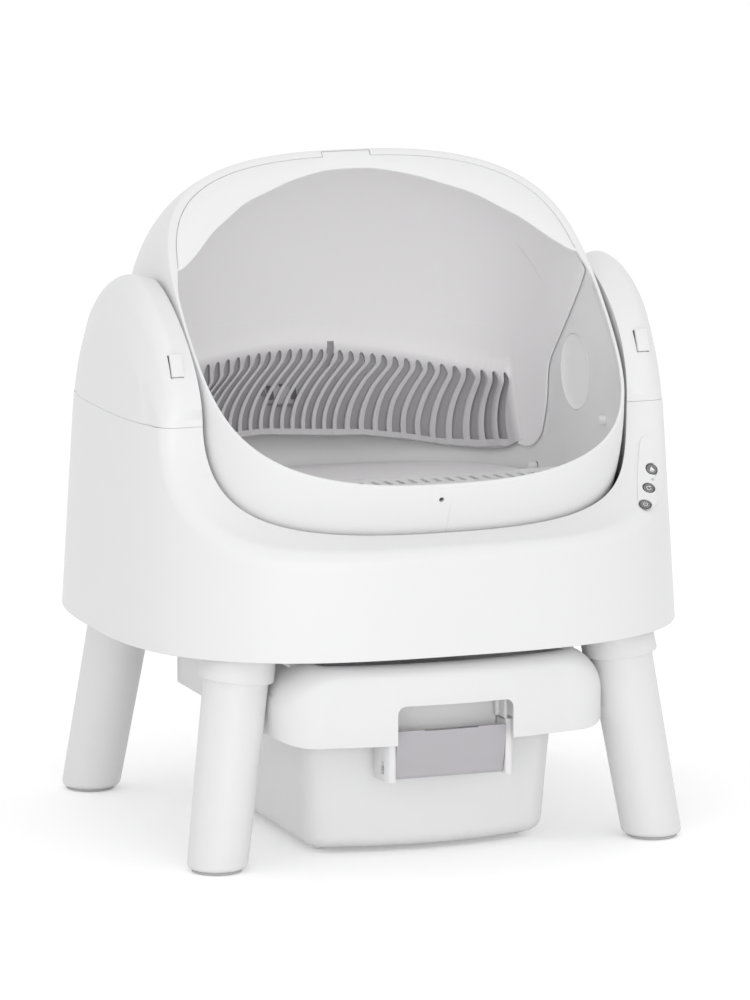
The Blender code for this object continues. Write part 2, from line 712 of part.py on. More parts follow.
outer_rings = [section_ring(MOUTH_OFFSET, 0.0, DRUM_POINTS)]
outer_rings += [section_ring(share * MOUTH_OFFSET if share > 0 else share * DRUM_RADIUS, 0.0,
                             DRUM_POINTS) for share in DRUM_LEVEL_SHARES]
outer_rings.append(section_ring(-POLE_SHARE * DRUM_RADIUS, 0.0, DRUM_POINTS))
inner_rings = [section_ring(MOUTH_OFFSET, 0.0, DRUM_POINTS, rim=True),
               [p - OUT_OF_MOUTH * DRUM_WALL
                for p in section_ring(MOUTH_OFFSET, 0.0, DRUM_POINTS, rim=True)],
               section_ring(MOUTH_OFFSET - DRUM_WALL * 1.2, -DRUM_WALL, DRUM_POINTS)]
inner_rings += [section_ring(share * MOUTH_OFFSET if share > 0 else share * DRUM_RADIUS
                             + DRUM_WALL, -DRUM_WALL, DRUM_POINTS)
                for share in DRUM_LEVEL_SHARES]
inner_rings.append(section_ring(-POLE_SHARE * DRUM_RADIUS + DRUM_WALL, -DRUM_WALL, DRUM_POINTS))
drum_shell = finish("drum_shell", loft(list(reversed(outer_rings)) + inner_rings), WHITE, drum)

# Trunnions, gear and drive
CUP_RADIUS = 0.037
CUP_DISH = 0.0028         # how far the cup's floor stands outside its rim
CUP_WALL = 0.0024
STUB_RADIUS = 0.008
STUB_REACH = 0.0305       # the next five run out from the drum's side
GEAR_REACH = 0.0087
BLOCK_REACH = 0.0195
BLOCK_WIDTH = 0.0105
BRACKET_REACH = 0.0173
STUB_END = DRUM_HALF_WIDTH + STUB_REACH
ROUND_SIDES = 18
GEAR_TEETH = 40
PINION_TEETH = 10
GEAR_MODULE = 0.0024
BACKLASH = 0.0003
TOOTH_ADDENDUM_SHARE = 0.8
TOOTH_DEDENDUM_SHARE = 1.15
TOOTH_ROOT_SHARE = 0.31   # half widths of a tooth, as shares of the pitch
TOOTH_PITCH_SHARE = 0.225
TOOTH_TIP_SHARE = 0.12
GEAR_START = DRUM_HALF_WIDTH + GEAR_REACH
GEAR_WIDTH = 0.008
GEAR_MARGIN = 0.001       # slot edge to gear
BLOCK_START = DRUM_HALF_WIDTH + BLOCK_REACH
BLOCK_END = BLOCK_START + BLOCK_WIDTH
BLOCK_HALF_DEPTH = 0.024
BLOCK_SHOULDER = 0.016
MOTOR_RADIUS = 0.019
MOTOR_LENGTH = 0.026
BRACKET_START = DRUM_HALF_WIDTH + BRACKET_REACH
BRACKET_THICKNESS = 0.002
BRACKET_HALF_DEPTH = 0.024
BRACKET_DROP = 0.072
SHAFT_RADIUS = 0.003
PINION_DROP = (GEAR_TEETH + PINION_TEETH) * GEAR_MODULE / 2 + BACKLASH


def on_axis(sign, place=DRUM_CENTRE):
    """A frame at the axis whose Z points out of one side."""
    return along(place, (sign, 0, 0))


def gear_outline(teeth, first_angle):
    """A toothed wheel's outline about the origin."""
    pitch_radius = teeth * GEAR_MODULE / 2
    pitch = 2 * math.pi / teeth
    outline = []
    for k in range(teeth):
        middle = first_angle + k * pitch
        for radius, share in ((pitch_radius - GEAR_MODULE * TOOTH_DEDENDUM_SHARE,
                               -TOOTH_ROOT_SHARE),
                              (pitch_radius + GEAR_MODULE * TOOTH_ADDENDUM_SHARE,
                               -TOOTH_TIP_SHARE),
                              (pitch_radius + GEAR_MODULE * TOOTH_ADDENDUM_SHARE,
                               TOOTH_TIP_SHARE),
                              (pitch_radius - GEAR_MODULE * TOOTH_DEDENDUM_SHARE,
                               TOOTH_ROOT_SHARE)):
            angle = middle + share * pitch
            outline.append((radius * math.cos(angle), radius * math.sin(angle)))
    return outline


def circle(radius, sides, centre=(0.0, 0.0)):
    return [(centre[0] + radius * math.cos(2 * math.pi * k / sides),
             centre[1] + radius * math.sin(2 * math.pi * k / sides)) for k in range(sides)]


def side_frame(place):
    """Outlines drawn in X and Y stand in the YZ plane, lifted along +X."""
    return Matrix.Translation(place) @ Matrix(((0, 0, 1, 0), (1, 0, 0, 0), (0, 1, 0, 0),
                                               (0, 0, 0, 1)))


cup_holes = bmesh.new()
for label, sign in (("left", -1), ("right", 1)):
    inner_face = DRUM_HALF_WIDTH - DRUM_WALL
    cup_floor = inner_face + CUP_DISH
    cup_back = cup_floor + CUP_WALL
    profile = [(0, cup_floor), (CUP_RADIUS * 0.55, lerp(cup_floor, inner_face, 0.2)),
               (CUP_RADIUS * 0.85, lerp(cup_floor, inner_face, 0.6)),
               (CUP_RADIUS - GAP, inner_face), (CUP_RADIUS - GAP, DRUM_HALF_WIDTH),
               (CUP_RADIUS * 0.85, cup_back), (STUB_RADIUS, cup_back), (STUB_RADIUS, STUB_END),
               (0, STUB_END)]
    finish("trunnion_" + label, turned(profile, ROUND_SIDES, on_axis(sign)), WHITE, drum)
    hole = turned([(0, inner_face - OVERRUN), (CUP_RADIUS, inner_face - OVERRUN),
                   (CUP_RADIUS, DRUM_HALF_WIDTH + OVERRUN), (0, DRUM_HALF_WIDTH + OVERRUN)],
                  ROUND_SIDES, on_axis(sign))
    cut(drum_shell, cutter("cup_hole_" + label, hole))

    stand = [(AXIS_Y - BLOCK_HALF_DEPTH, SEAM_FOOT), (AXIS_Y + BLOCK_HALF_DEPTH, SEAM_FOOT),
             (AXIS_Y + BLOCK_SHOULDER, AXIS_Z + BLOCK_SHOULDER * 0.5),
             (AXIS_Y + BLOCK_SHOULDER * 0.5, AXIS_Z + BLOCK_SHOULDER),
             (AXIS_Y - BLOCK_SHOULDER * 0.5, AXIS_Z + BLOCK_SHOULDER),
             (AXIS_Y - BLOCK_SHOULDER, AXIS_Z + BLOCK_SHOULDER * 0.5)]
    bore = circle(STUB_RADIUS + GAP, ROUND_SIDES, (AXIS_Y, AXIS_Z))
    first, last = sorted((sign * BLOCK_START, sign * BLOCK_END))
    finish("pivot_block_" + label, slab(stand, [bore], first, last, side_frame((0, 0, 0))),
           DARK_GREY)

    notch = block((sign * (DRUM_HALF_WIDTH + GAP) if sign > 0 else
                   -(GEAR_START - GAP), AXIS_Y - STUB_RADIUS - GEAR_MARGIN, SEAM_FOOT - OVERRUN),
                  (GEAR_START - GAP if sign > 0 else -(DRUM_HALF_WIDTH + GAP),
                   AXIS_Y + STUB_RADIUS + GEAR_MARGIN, AXIS_Z + STUB_RADIUS + GEAR_MARGIN))
    cut(ear_caps[label], cutter("stub_notch_" + label, notch))

gear_bore = circle(STUB_RADIUS + GAP, ROUND_SIDES)
finish("drum_gear", slab(gear_outline(GEAR_TEETH, math.pi / 2), [gear_bore], GEAR_START,
                         GEAR_START + GEAR_WIDTH, side_frame((0, AXIS_Y, AXIS_Z))), DARK_GREY,
       drum)
gear_outside = GEAR_TEETH * GEAR_MODULE / 2 + GEAR_MODULE
gear_slot = block((GEAR_START - GEAR_MARGIN * 0.7, AXIS_Y - gear_outside - GEAR_MARGIN,
                   SEAM - SKIN - OVERRUN),
                  (GEAR_START + GEAR_WIDTH + GEAR_MARGIN, AXIS_Y + gear_outside + GEAR_MARGIN,
                   SEAM + OVERRUN))
cut(base_shell, cutter("gear_slot", gear_slot))

pinion_centre = Vector((0, AXIS_Y, AXIS_Z - PINION_DROP))
pinion = pivot("pinion_axis", pinion_centre)
teeth = slab(gear_outline(PINION_TEETH, math.pi / 2 + math.pi / PINION_TEETH), [], GEAR_START,
             GEAR_START + GEAR_WIDTH, side_frame(pinion_centre))
finish("drive_pinion", teeth, STEEL, pinion)

motor_start = BRACKET_START + BRACKET_THICKNESS + GAP
motor = turned([(0, motor_start), (MOTOR_RADIUS, motor_start),
                (MOTOR_RADIUS, motor_start + MOTOR_LENGTH), (0, motor_start + MOTOR_LENGTH)],
               ROUND_SIDES, on_axis(1, pinion_centre))
finish("drive_motor", motor, STEEL)
bracket_top = SEAM_TOP - SKIN - GAP
bracket = [(AXIS_Y - BRACKET_HALF_DEPTH, bracket_top - BRACKET_DROP),
           (AXIS_Y + BRACKET_HALF_DEPTH, bracket_top - BRACKET_DROP),
           (AXIS_Y + BRACKET_HALF_DEPTH, bracket_top), (AXIS_Y - BRACKET_HALF_DEPTH, bracket_top)]
shaft_hole = circle(SHAFT_RADIUS, ROUND_SIDES // 2, (AXIS_Y, pinion_centre.z))
finish("motor_bracket", slab(bracket, [shaft_hole], BRACKET_START,
                             BRACKET_START + BRACKET_THICKNESS, side_frame((0, 0, 0))), STEEL)

# Inside the drum
LINER_GAP = 0.0012
LINER_THICKNESS = 0.002
LINER_LOW = LINER_LOW_SHARE * DRUM_RADIUS + DRUM_WALL
LINER_EDGE_SHARES = ((-0.63, 0.114), (-0.6176, 0.080), (-0.563, 0.0264), (-0.4725, 0.0176),
                     (-0.328, 0.098), (-0.242, 0.176), (-0.176, 0.2066), (0.45, 0.2066))
LINER_FULL_COLUMNS = 8    # columns each side that lie on the drum's own facets
LINER_TOP = MOUTH_OFFSET - DRUM_WALL * 2.6


def liner_levels():
    levels = [LINER_TOP]
    for share in DRUM_LEVEL_SHARES:
        level = share * MOUTH_OFFSET if share > 0 else share * DRUM_RADIUS + DRUM_WALL
        if level > LINER_LOW + WELD:
            levels.append(level)
    return levels + [LINER_LOW]


def liner_reach(level):
    """Where the liner starts along the mouth, with its lower corner rounded."""
    heights, reaches = zip(*LINER_EDGE_SHARES)
    return DRUM_RADIUS * float(np.interp(level / DRUM_RADIUS, heights, reaches))


def liner_grid(shrink):
    grid = []
    for level in liner_levels():
        reach = liner_reach(level)
        end = barrel_reach(math.hypot(reach, level), -shrink)
        ring = section_ring(level, -shrink, DRUM_POINTS)[:LINER_FULL_COLUMNS + 1]
        right = ring + [in_mouth(end, reach, level)]
        grid.append(mirrored(reversed(right[1:])) + right)
    return grid


liner_out = DRUM_WALL + LINER_GAP
finish("back_liner", panel(liner_grid(liner_out), liner_grid(liner_out + LINER_THICKNESS)),
       INNER_GREY, drum)

SHELF_TOP = AXIS_Z - SHELF_DROP
SHELF_THICKNESS = 0.003
SHELF_BACK = 0.005
SLOT_COUNT = 31
SLOT_PITCH_SHARE = 0.058548
SLOT_PITCH = SLOT_PITCH_SHARE * DRUM_HALF_WIDTH
SLOT_WIDTH = 0.005
SLOT_LENGTH = 0.025
SLOT_SETBACK = 0.017
FLOOR_TOP = AXIS_Z - FLOOR_DROP
FLOOR_THICKNESS = 0.0025
FLOOR_FRONT = -0.035
WALL_FIT = 0.0035
SHELF_FIT = 0.0022


def drum_slice(low_z, y_from, y_to, count, fit=WALL_FIT):
    """Level outline of the drum's inside between two depths."""
    grow = -DRUM_WALL - fit
    points = []
    for step in range(SIDE_STEPS * 2 + 1):
        angle = math.pi * step / (SIDE_STEPS * 2)
        p = barrel_ring_point(angle, low_z, grow)
        if y_from <= p.y <= y_to:
            points.append(p)
    for edge in (y_from, y_to):
        x = barrel_reach(math.hypot(edge - AXIS_Y, low_z - AXIS_Z), grow)
        if x > 0:
            points.append(Vector((x, edge, low_z)))
    points.sort(key=lambda p: p.y)
    half = resample(points, count)
    return [(p.x, p.y) for p in half] + [(-p.x, p.y) for p in reversed(half) if p.x > WELD]


shelf_outline = drum_slice(SHELF_TOP - SHELF_THICKNESS, -DRUM_RADIUS, SHELF_BACK, 12, SHELF_FIT)
slots = []
for k in range(SLOT_COUNT):
    middle = (k - (SLOT_COUNT - 1) / 2) * SLOT_PITCH
    back = SHELF_BACK - SLOT_SETBACK
    slots.append([(middle - SLOT_WIDTH / 2, back - SLOT_LENGTH), (middle + SLOT_WIDTH / 2,
                                                                  back - SLOT_LENGTH),
                  (middle + SLOT_WIDTH / 2, back), (middle - SLOT_WIDTH / 2, back)])
finish("front_grille", slab(shelf_outline, slots, SHELF_TOP - SHELF_THICKNESS, SHELF_TOP), WHITE,
       drum)
floor_outline = drum_slice(FLOOR_TOP - FLOOR_THICKNESS, FLOOR_FRONT, DRUM_RADIUS, 12)
finish("drum_floor", slab(floor_outline, [], FLOOR_TOP - FLOOR_THICKNESS, FLOOR_TOP), INNER_GREY,
       drum)

# Sieve: curved ribs that rise from a foot rail and end in points
RIB_COUNT = 33
RIB_PITCH_SHARE = 0.051054
RIB_PITCH = RIB_PITCH_SHARE * DRUM_HALF_WIDTH
RIB_WIDTH = 0.0045
RIB_DEPTH = 0.0025
RIB_TIP_SHARE = 0.25
RIB_FOOT_ANGLE = math.radians(66.5)
RIB_START_ANGLE = math.radians(69.5)
RIB_TIP_ANGLE = math.radians(90)
RIB_ROWS = 3
CREASE_ANGLE = math.radians(88)
CREASE_DROP = math.radians(11)
CREASE_REACH = 0.085      # half width at which the crease has dropped that far
RAIL_OFFSET = DRUM_WALL + 0.0025   # the foot rail reaches back to the wall
BULGE = 0.016             # how far the sieve stands off the wall at its foot
SIEVE_OFFSET = 0.0102


def around(x, angle, depth, proud=0.0):
    """A point inside the barrel: angle from straight down towards the back, depth from outside."""
    radius = barrel_radius(x, -depth) - proud
    return Vector((x, AXIS_Y + radius * math.sin(angle), AXIS_Z - radius * math.cos(angle)))


def bulge(x, angle):
    crease = CREASE_ANGLE - CREASE_DROP * (x / CREASE_REACH) ** 2
    span = CREASE_ANGLE - RIB_START_ANGLE
    return BULGE * min(max((crease - angle) / span, 0.0), 1.0)


rib_lines = []
for k in range(RIB_COUNT):
    middle = (k - (RIB_COUNT - 1) / 2) * RIB_PITCH
    rib_lines += [(middle, -RIB_WIDTH / 2), (middle, RIB_WIDTH / 2)]
rib_angles = [RIB_FOOT_ANGLE] + [lerp(RIB_START_ANGLE, RIB_TIP_ANGLE, k / RIB_ROWS)
                                 for k in range(RIB_ROWS + 1)]


def rib_grid(depth, rail_depth):
    grid = []
    for row, angle in enumerate(rib_angles):
        tip = RIB_TIP_SHARE if row == len(rib_angles) - 1 else 1.0
        grid.append([around(middle + half * tip, angle, rail_depth if row < 2 else depth,
                            bulge(middle, angle))
                     for middle, half in rib_lines])
    return grid


sieve = panel(rib_grid(SIEVE_OFFSET + RIB_DEPTH, SIEVE_OFFSET + RIB_DEPTH),
              rib_grid(SIEVE_OFFSET, RAIL_OFFSET),
              lambda i, j: i == 0 or j % 2 == 0)
finish("sieve", sieve, RIB_GREY, drum, 25.0)

# Visor in the upper half of the mouth
VISOR_THICKNESS = 0.0025
VISOR_HALF_WIDTH = DRUM_HALF_WIDTH - RIM_WIDTH
VISOR_SHARE = 0.78022
VISOR_HEIGHT = VISOR_SHARE * DRUM_RADIUS   # its lower edge at the middle of the mouth
VISOR_EDGE_SHARES = ((0.0, 1.0), (0.15, 0.985), (0.31, 0.925), (0.46, 0.85), (0.56, 0.79),
                     (0.66, 0.70), (0.76, 0.59), (0.86, 0.465), (0.93, 0.39), (0.97, 0.365))
visor_sheet = MOUTH_OFFSET - VISOR_THICKNESS
mouth_ring = [Vector((p.x, (p - DRUM_CENTRE).dot(ALONG_MOUTH)))
              for p in section_ring(MOUTH_OFFSET, 0.0, DRUM_POINTS)]
visor_rim = rim_edge(mouth_ring, GAP)[:DRUM_POINTS // 2]
visor_start = VISOR_HEIGHT * VISOR_EDGE_SHARES[-1][1]
visor_rim = [p for p in visor_rim if p.y > visor_start]
upper = [(max(p.x, 0.0), p.y) for p in visor_rim]
lower = [(VISOR_HALF_WIDTH * a, VISOR_HEIGHT * b) for a, b in reversed(VISOR_EDGE_SHARES)]
right_half = upper + lower
visor_outline = right_half + [(-x, y) for x, y in reversed(right_half) if x > WELD]
mouth_frame = Matrix.Translation(DRUM_CENTRE) @ Matrix((
    (1, 0, 0, 0), (0, ALONG_MOUTH.y, OUT_OF_MOUTH.y, 0), (0, ALONG_MOUTH.z, OUT_OF_MOUTH.z, 0),
    (0, 0, 0, 1)))
finish("visor", slab(visor_outline, [], visor_sheet, MOUTH_OFFSET, mouth_frame), WARM_WHITE, drum)

PEG_RADIUS = 0.004
PEG_LENGTH = 0.010
PEG_SEAT = 0.0018         # how far a peg reaches into the wall
PEG_PLACES = (("front", -0.0802, 0.0349), ("back", 0.0830, 0.1054))   # behind and below the axis
for label, behind, below in PEG_PLACES:
    depth, height = AXIS_Y + behind, AXIS_Z - below
    radius = math.hypot(behind, below)
    wall = barrel_reach(radius + PEG_RADIUS, -DRUM_WALL)
    peg_frame = on_axis(1, Vector((0, depth, height)))
    peg = turned([(0, wall - PEG_LENGTH), (PEG_RADIUS, wall - PEG_LENGTH),
                  (PEG_RADIUS, wall + PEG_SEAT), (0, wall + PEG_SEAT)], ROUND_SIDES // 2, peg_frame)
    finish("peg_" + label, peg, WHITE, drum)
    peg_hole = turned([(0, wall - PEG_LENGTH), (PEG_RADIUS + GAP, wall - PEG_LENGTH),
                       (PEG_RADIUS + GAP, wall + PEG_LENGTH), (0, wall + PEG_LENGTH)],
                      ROUND_SIDES // 2, peg_frame)
    cut(drum_shell, cutter("peg_hole_" + label, peg_hole))

# Drawer: hood, bin and latch
drawer = pivot("drawer_slide", Vector((0, 0, 0)))
HOOD_LEG_ROOM = 0.053     # from a foot's middle to the hood's side
HOOD_SET_BACK = 0.0088    # from the tub's front to the hood's front
HOOD_HALF_WIDTH = LEG_FOOT_X - HOOD_LEG_ROOM
HOOD_FRONT = HOOD_SET_BACK - TUB_HALF_DEPTH
HOOD_BOW = 0.014          # how far the front's middle stands before its corners
HOOD_CORNER = 0.050
HOOD_BACK = 0.080
HOOD_TOP = 0.187
HOOD_WALL = 0.003
HOOD_FRONT_LOW = 0.112
HOOD_SIDE_LOW = 0.126
HOOD_SIDE_ROUND = 0.045
HOOD_FRONT_ROUND = 0.012
HOOD_LIP = 0.006          # flat strip past the rounding
HOOD_STATIONS = 13
HOOD_ARC = 4
CUTOUT_HALF_WIDTH = 0.0577
CUTOUT_TOP = 0.1535
CUTOUT_CORNER = 0.008


def hood_path(t):
    """Plan of the hood's outside by share of its half: from the front's middle to the back."""
    front = HOOD_HALF_WIDTH - HOOD_CORNER
    corner_y = HOOD_FRONT + HOOD_BOW + HOOD_CORNER
    if t < 0.4:
        x = front * t / 0.4
        return Vector((x, HOOD_FRONT + HOOD_BOW * (x / front) ** 2))
    if t < 0.75:
        turn = math.pi / 2 * (t - 0.4) / 0.35
        return Vector((front + HOOD_CORNER * math.sin(turn), corner_y - HOOD_CORNER
                       * math.cos(turn)))
    return Vector((HOOD_HALF_WIDTH, lerp(corner_y, HOOD_BACK, (t - 0.75) / 0.25)))


hood_shares = [0, 0.14, 0.27, 0.38, 0.44, 0.50, 0.56, 0.62, 0.68, 0.75, 0.83, 1.0]
hood_half = []
for t in hood_shares:
    here = hood_path(t)
    ahead, behind = hood_path(min(t + 0.01, 1)), hood_path(max(t - 0.01, 0))
    run = (ahead - behind).normalized()
    inside = Vector((-run.y, run.x, 0))
    if t == 0:
        inside = Vector((0, 1, 0))
    side = smooth(t, 0.36, 0.72)
    bend = lerp(HOOD_FRONT_ROUND, HOOD_SIDE_ROUND, side)
    low = lerp(HOOD_FRONT_LOW, HOOD_SIDE_LOW, smooth(t, 0.5, 0.75))
    base = Vector((here.x, here.y, 0))

    def section(skin, inside=inside, bend=bend, low=low, base=base):
        points = [base + inside * skin + Vector((0, 0, low))]
        for k in range(HOOD_ARC + 1):
            turn = math.pi / 2 * k / HOOD_ARC
            points.append(base + inside * (bend - (bend - skin) * math.cos(turn))
                          + Vector((0, 0, HOOD_TOP - bend + (bend - skin) * math.sin(turn))))
        points.append(base + inside * (bend + HOOD_LIP) + Vector((0, 0, HOOD_TOP - skin)))
        return points

    hood_half.append(section(0.0) + list(reversed(section(HOOD_WALL))))
hood_rings = [mirrored(ring) for ring in reversed(hood_half[1:])] + hood_half
drawer_hood = finish("drawer_hood", loft(hood_rings), WHITE, drawer)
opening = [(-CUTOUT_HALF_WIDTH, HOOD_FRONT_LOW - OVERRUN), (CUTOUT_HALF_WIDTH,
                                                           HOOD_FRONT_LOW - OVERRUN)]
for sign in (1, -1):
    for k in range(4):
        turn = math.pi / 2 * (k / 3 if sign > 0 else 1 - k / 3)
        opening.append((sign * (CUTOUT_HALF_WIDTH - CUTOUT_CORNER * (1 - math.cos(turn))),
                        CUTOUT_TOP - CUTOUT_CORNER * (1 - math.sin(turn))))
front_frame = Matrix(((1, 0, 0, 0), (0, 0, -1, 0), (0, 1, 0, 0), (0, 0, 0, 1)))
cut(drawer_hood, cutter("latch_cutout", slab(opening, [], -HOOD_FRONT - HOOD_WALL - OVERRUN,
                                             -HOOD_FRONT + OVERRUN, front_frame)))

BIN_HOOD_ROOM = 0.036     # from the bin's side to the hood's side
BIN_TAPER = 0.010
BIN_SET_BACK = 0.051      # from the hood's front to the bin's front
BIN_HALF_TOP = HOOD_HALF_WIDTH - BIN_HOOD_ROOM
BIN_HALF_FOOT = BIN_HALF_TOP - BIN_TAPER
BIN_FRONT = HOOD_FRONT + BIN_SET_BACK
BIN_BOW = 0.020
BIN_BACK = 0.075
BIN_TOP = 0.150
BIN_FOOT = 0.012
BIN_CORNER = 0.024
BIN_EDGE = 0.022          # rounding of the bottom edge
BIN_WALL = 0.0025
BIN_LIP = 0.006
BIN_POINTS = 28


def bin_ring(height, grow):
    """Rounded outline of the bin with a bowed front."""
    share = (height - BIN_FOOT) / (BIN_TOP - BIN_FOOT)
    half_width = lerp(BIN_HALF_FOOT, BIN_HALF_TOP, share) + grow
    corner = BIN_CORNER + grow
    taper = lerp(BIN_HALF_TOP - BIN_HALF_FOOT, 0, share)
    front, back = BIN_FRONT - grow + taper, BIN_BACK + grow - taper
    half = []
    for k in range(9):
        x = (half_width - corner) * k / 8
        half.append((x, front + BIN_BOW * (x / half_width) ** 2))
    start = half[-1][1]
    for k in range(1, 9):
        turn = math.pi / 2 * k / 8
        half.append((half_width - corner + corner * math.sin(turn),
                     start + corner * (1 - math.cos(turn))))
    for k in range(9):
        turn = math.pi / 2 * k / 8
        half.append((half_width - corner + corner * math.cos(turn),
                     back - corner + corner * math.sin(turn)))
    half.append((0.0, back))
    half = resample(half, BIN_POINTS // 2)
    return [Vector((p.x, p.y, height)) for p in half + [Vector((-q.x, q.y))
                                                      for q in reversed(half[1:-1])]]


def bin_skin(skin, lift):
    rings = []
    for k in range(4):
        turn = math.pi / 2 * k / 3
        rings.append(bin_ring(BIN_FOOT + lift + (BIN_EDGE - skin) * (1 - math.cos(turn)),
                              -skin - (BIN_EDGE - skin) * (1 - math.sin(turn))))
    return rings


bin_rings = bin_skin(0.0, 0.0)
bin_rings += [bin_ring(BIN_TOP - BIN_LIP, 0.0), bin_ring(BIN_TOP - BIN_LIP, BIN_LIP),
              bin_ring(BIN_TOP, BIN_LIP), bin_ring(BIN_TOP, -BIN_WALL)]
bin_rings += list(reversed(bin_skin(BIN_WALL, BIN_WALL)))
finish("waste_bin", loft(bin_rings), WARM_WHITE, drawer)

GLIDE_X = 0.085
GLIDE_Y = -0.135
GLIDE_RADIUS = 0.006
GLIDE_LIFT = 0.001
for label, sign in (("left", -1), ("right", 1)):
    finish("bin_glide_" + label,
           turned([(0, GLIDE_LIFT), (GLIDE_RADIUS, GLIDE_LIFT), (GLIDE_RADIUS, BIN_FOOT - GAP),
                   (0, BIN_FOOT - GAP)], ROUND_SIDES // 2,
                  Matrix.Translation((sign * GLIDE_X, GLIDE_Y, 0))), WARM_WHITE, drawer)

# Latch: a bracket with two ears on the bin, and a sprung paddle between them
PADDLE_HALF_WIDTH = 0.0540
PADDLE_LOW = 0.079
PADDLE_HIGH = 0.127
PADDLE_THICKNESS = 0.003
PADDLE_FOOT_REACH = 0.029  # these four run forwards from the bin's front
PADDLE_TOP_REACH = 0.0375
PIN_REACH = 0.0225
LATCH_EAR_REACH = 0.034
PADDLE_FOOT_Y = BIN_FRONT - PADDLE_FOOT_REACH
PADDLE_TOP_Y = BIN_FRONT - PADDLE_TOP_REACH
PADDLE_CURL = 0.006
PIN_Z = 0.0905
PIN_Y = BIN_FRONT - PIN_REACH
PIN_RADIUS = 0.0022
EAR_THICKNESS = 0.0095
LATCH_EAR_FRONT = BIN_FRONT - LATCH_EAR_REACH
LATCH_EAR_LOW = 0.078
LATCH_EAR_HIGH = 0.131
LATCH_PLATE = 0.003
paddle = pivot("paddle_axis", Vector((0, PIN_Y, PIN_Z)))
ear_inside = PADDLE_HALF_WIDTH + 2 * GAP
ear_outside = ear_inside + EAR_THICKNESS
bracket_share = (LATCH_EAR_HIGH - BIN_FOOT) / (BIN_TOP - BIN_FOOT)
plate_front = BIN_FRONT + (BIN_HALF_TOP - BIN_HALF_FOOT) * (1 - bracket_share) - GAP
bracket_plan = [(-ear_outside, plate_front), (-ear_outside, LATCH_EAR_FRONT),
                (-ear_inside, LATCH_EAR_FRONT), (-ear_inside, plate_front - LATCH_PLATE),
                (ear_inside, plate_front - LATCH_PLATE), (ear_inside, LATCH_EAR_FRONT),
                (ear_outside, LATCH_EAR_FRONT), (ear_outside, plate_front)]
bracket_mesh = slab(bracket_plan, [], LATCH_EAR_LOW, LATCH_EAR_HIGH)
latch_bracket = finish("latch_bracket", bracket_mesh, WHITE, drawer)
pin_bore = turned([(0, -ear_outside - OVERRUN), (PIN_RADIUS + GAP, -ear_outside - OVERRUN),
                   (PIN_RADIUS + GAP, ear_outside + OVERRUN), (0, ear_outside + OVERRUN)],
                  ROUND_SIDES // 2, on_axis(1, Vector((0, PIN_Y, PIN_Z))))
cut(latch_bracket, cutter("pin_bore", pin_bore))
finish("latch_pin", turned([(0, -ear_outside), (PIN_RADIUS, -ear_outside),
                            (PIN_RADIUS, ear_outside), (0, ear_outside)], ROUND_SIDES // 2,
                           on_axis(1, Vector((0, PIN_Y, PIN_Z)))), STEEL, drawer)

paddle_lean = (PADDLE_TOP_Y - PADDLE_FOOT_Y) / (PADDLE_HIGH - PADDLE_LOW)
knuckle = PIN_RADIUS + GAP + PADDLE_THICKNESS * 0.7
front_line = [(PADDLE_FOOT_Y + PADDLE_CURL * 0.6, PADDLE_LOW), (PADDLE_FOOT_Y, PADDLE_LOW
                                                                + PADDLE_CURL * 0.4),
              (PADDLE_TOP_Y, PADDLE_HIGH)]
back_line = [(PADDLE_TOP_Y + PADDLE_THICKNESS, PADDLE_HIGH),
             (PADDLE_FOOT_Y + PADDLE_THICKNESS + paddle_lean * (PIN_Z + knuckle - PADDLE_LOW),
              PIN_Z + knuckle), (PIN_Y, PIN_Z + knuckle),
             (PIN_Y + knuckle * 0.7, PIN_Z + knuckle * 0.7), (PIN_Y + knuckle, PIN_Z),
             (PIN_Y + knuckle * 0.7, PIN_Z - knuckle * 0.7), (PIN_Y, PIN_Z - knuckle)]
paddle_bore = circle(PIN_RADIUS + GAP, ROUND_SIDES // 2, (PIN_Y, PIN_Z))
finish("bin_latch", slab(front_line + back_line, [paddle_bore], -PADDLE_HALF_WIDTH,
                         PADDLE_HALF_WIDTH, side_frame((0, 0, 0))), PADDLE_GREY, paddle)

# Runners on the hood and the rails that carry them
RUNNER_HOOD_ROOM = 0.029  # from the runner's inside to the hood's side
RUNNER_INSIDE = HOOD_HALF_WIDTH - RUNNER_HOOD_ROOM
RUNNER_WEB = 0.006
RUNNER_FLANGE = 0.013
RUNNER_TOP = 0.193
RUNNER_FLANGE_THICKNESS = 0.003
RAIL_WALL = 0.0022
RAIL_LEDGE = 0.0035
RUNNER_FRONT = -0.180
RAIL_FRONT = -0.125
RAIL_BACK = 0.100
side_arc_x = HOOD_HALF_WIDTH - HOOD_SIDE_ROUND


def hood_skin_height(x):
    return HOOD_TOP - HOOD_SIDE_ROUND + math.sqrt(HOOD_SIDE_ROUND ** 2 - (x - side_arc_x) ** 2)


runner_foot = hood_skin_height(RUNNER_INSIDE) + GAP
flange_low = RUNNER_TOP - RUNNER_FLANGE_THICKNESS
profile = [(RUNNER_INSIDE, runner_foot), (RUNNER_INSIDE + RUNNER_WEB,
                                         hood_skin_height(RUNNER_INSIDE + RUNNER_WEB) + GAP),
           (RUNNER_INSIDE + RUNNER_WEB, flange_low),
           (RUNNER_INSIDE + RUNNER_FLANGE, flange_low),
           (RUNNER_INSIDE + RUNNER_FLANGE, RUNNER_TOP), (RUNNER_INSIDE, RUNNER_TOP)]
ledge_top = flange_low - GAP
rail_inside = RUNNER_INSIDE + RUNNER_FLANGE + GAP
rail = [(rail_inside - RAIL_LEDGE, ledge_top - RAIL_WALL), (rail_inside + RAIL_WALL, ledge_top
                                                            - RAIL_WALL),
        (rail_inside + RAIL_WALL, PAN_UNDER - GAP), (rail_inside, PAN_UNDER - GAP),
        (rail_inside, ledge_top), (rail_inside - RAIL_LEDGE, ledge_top)]
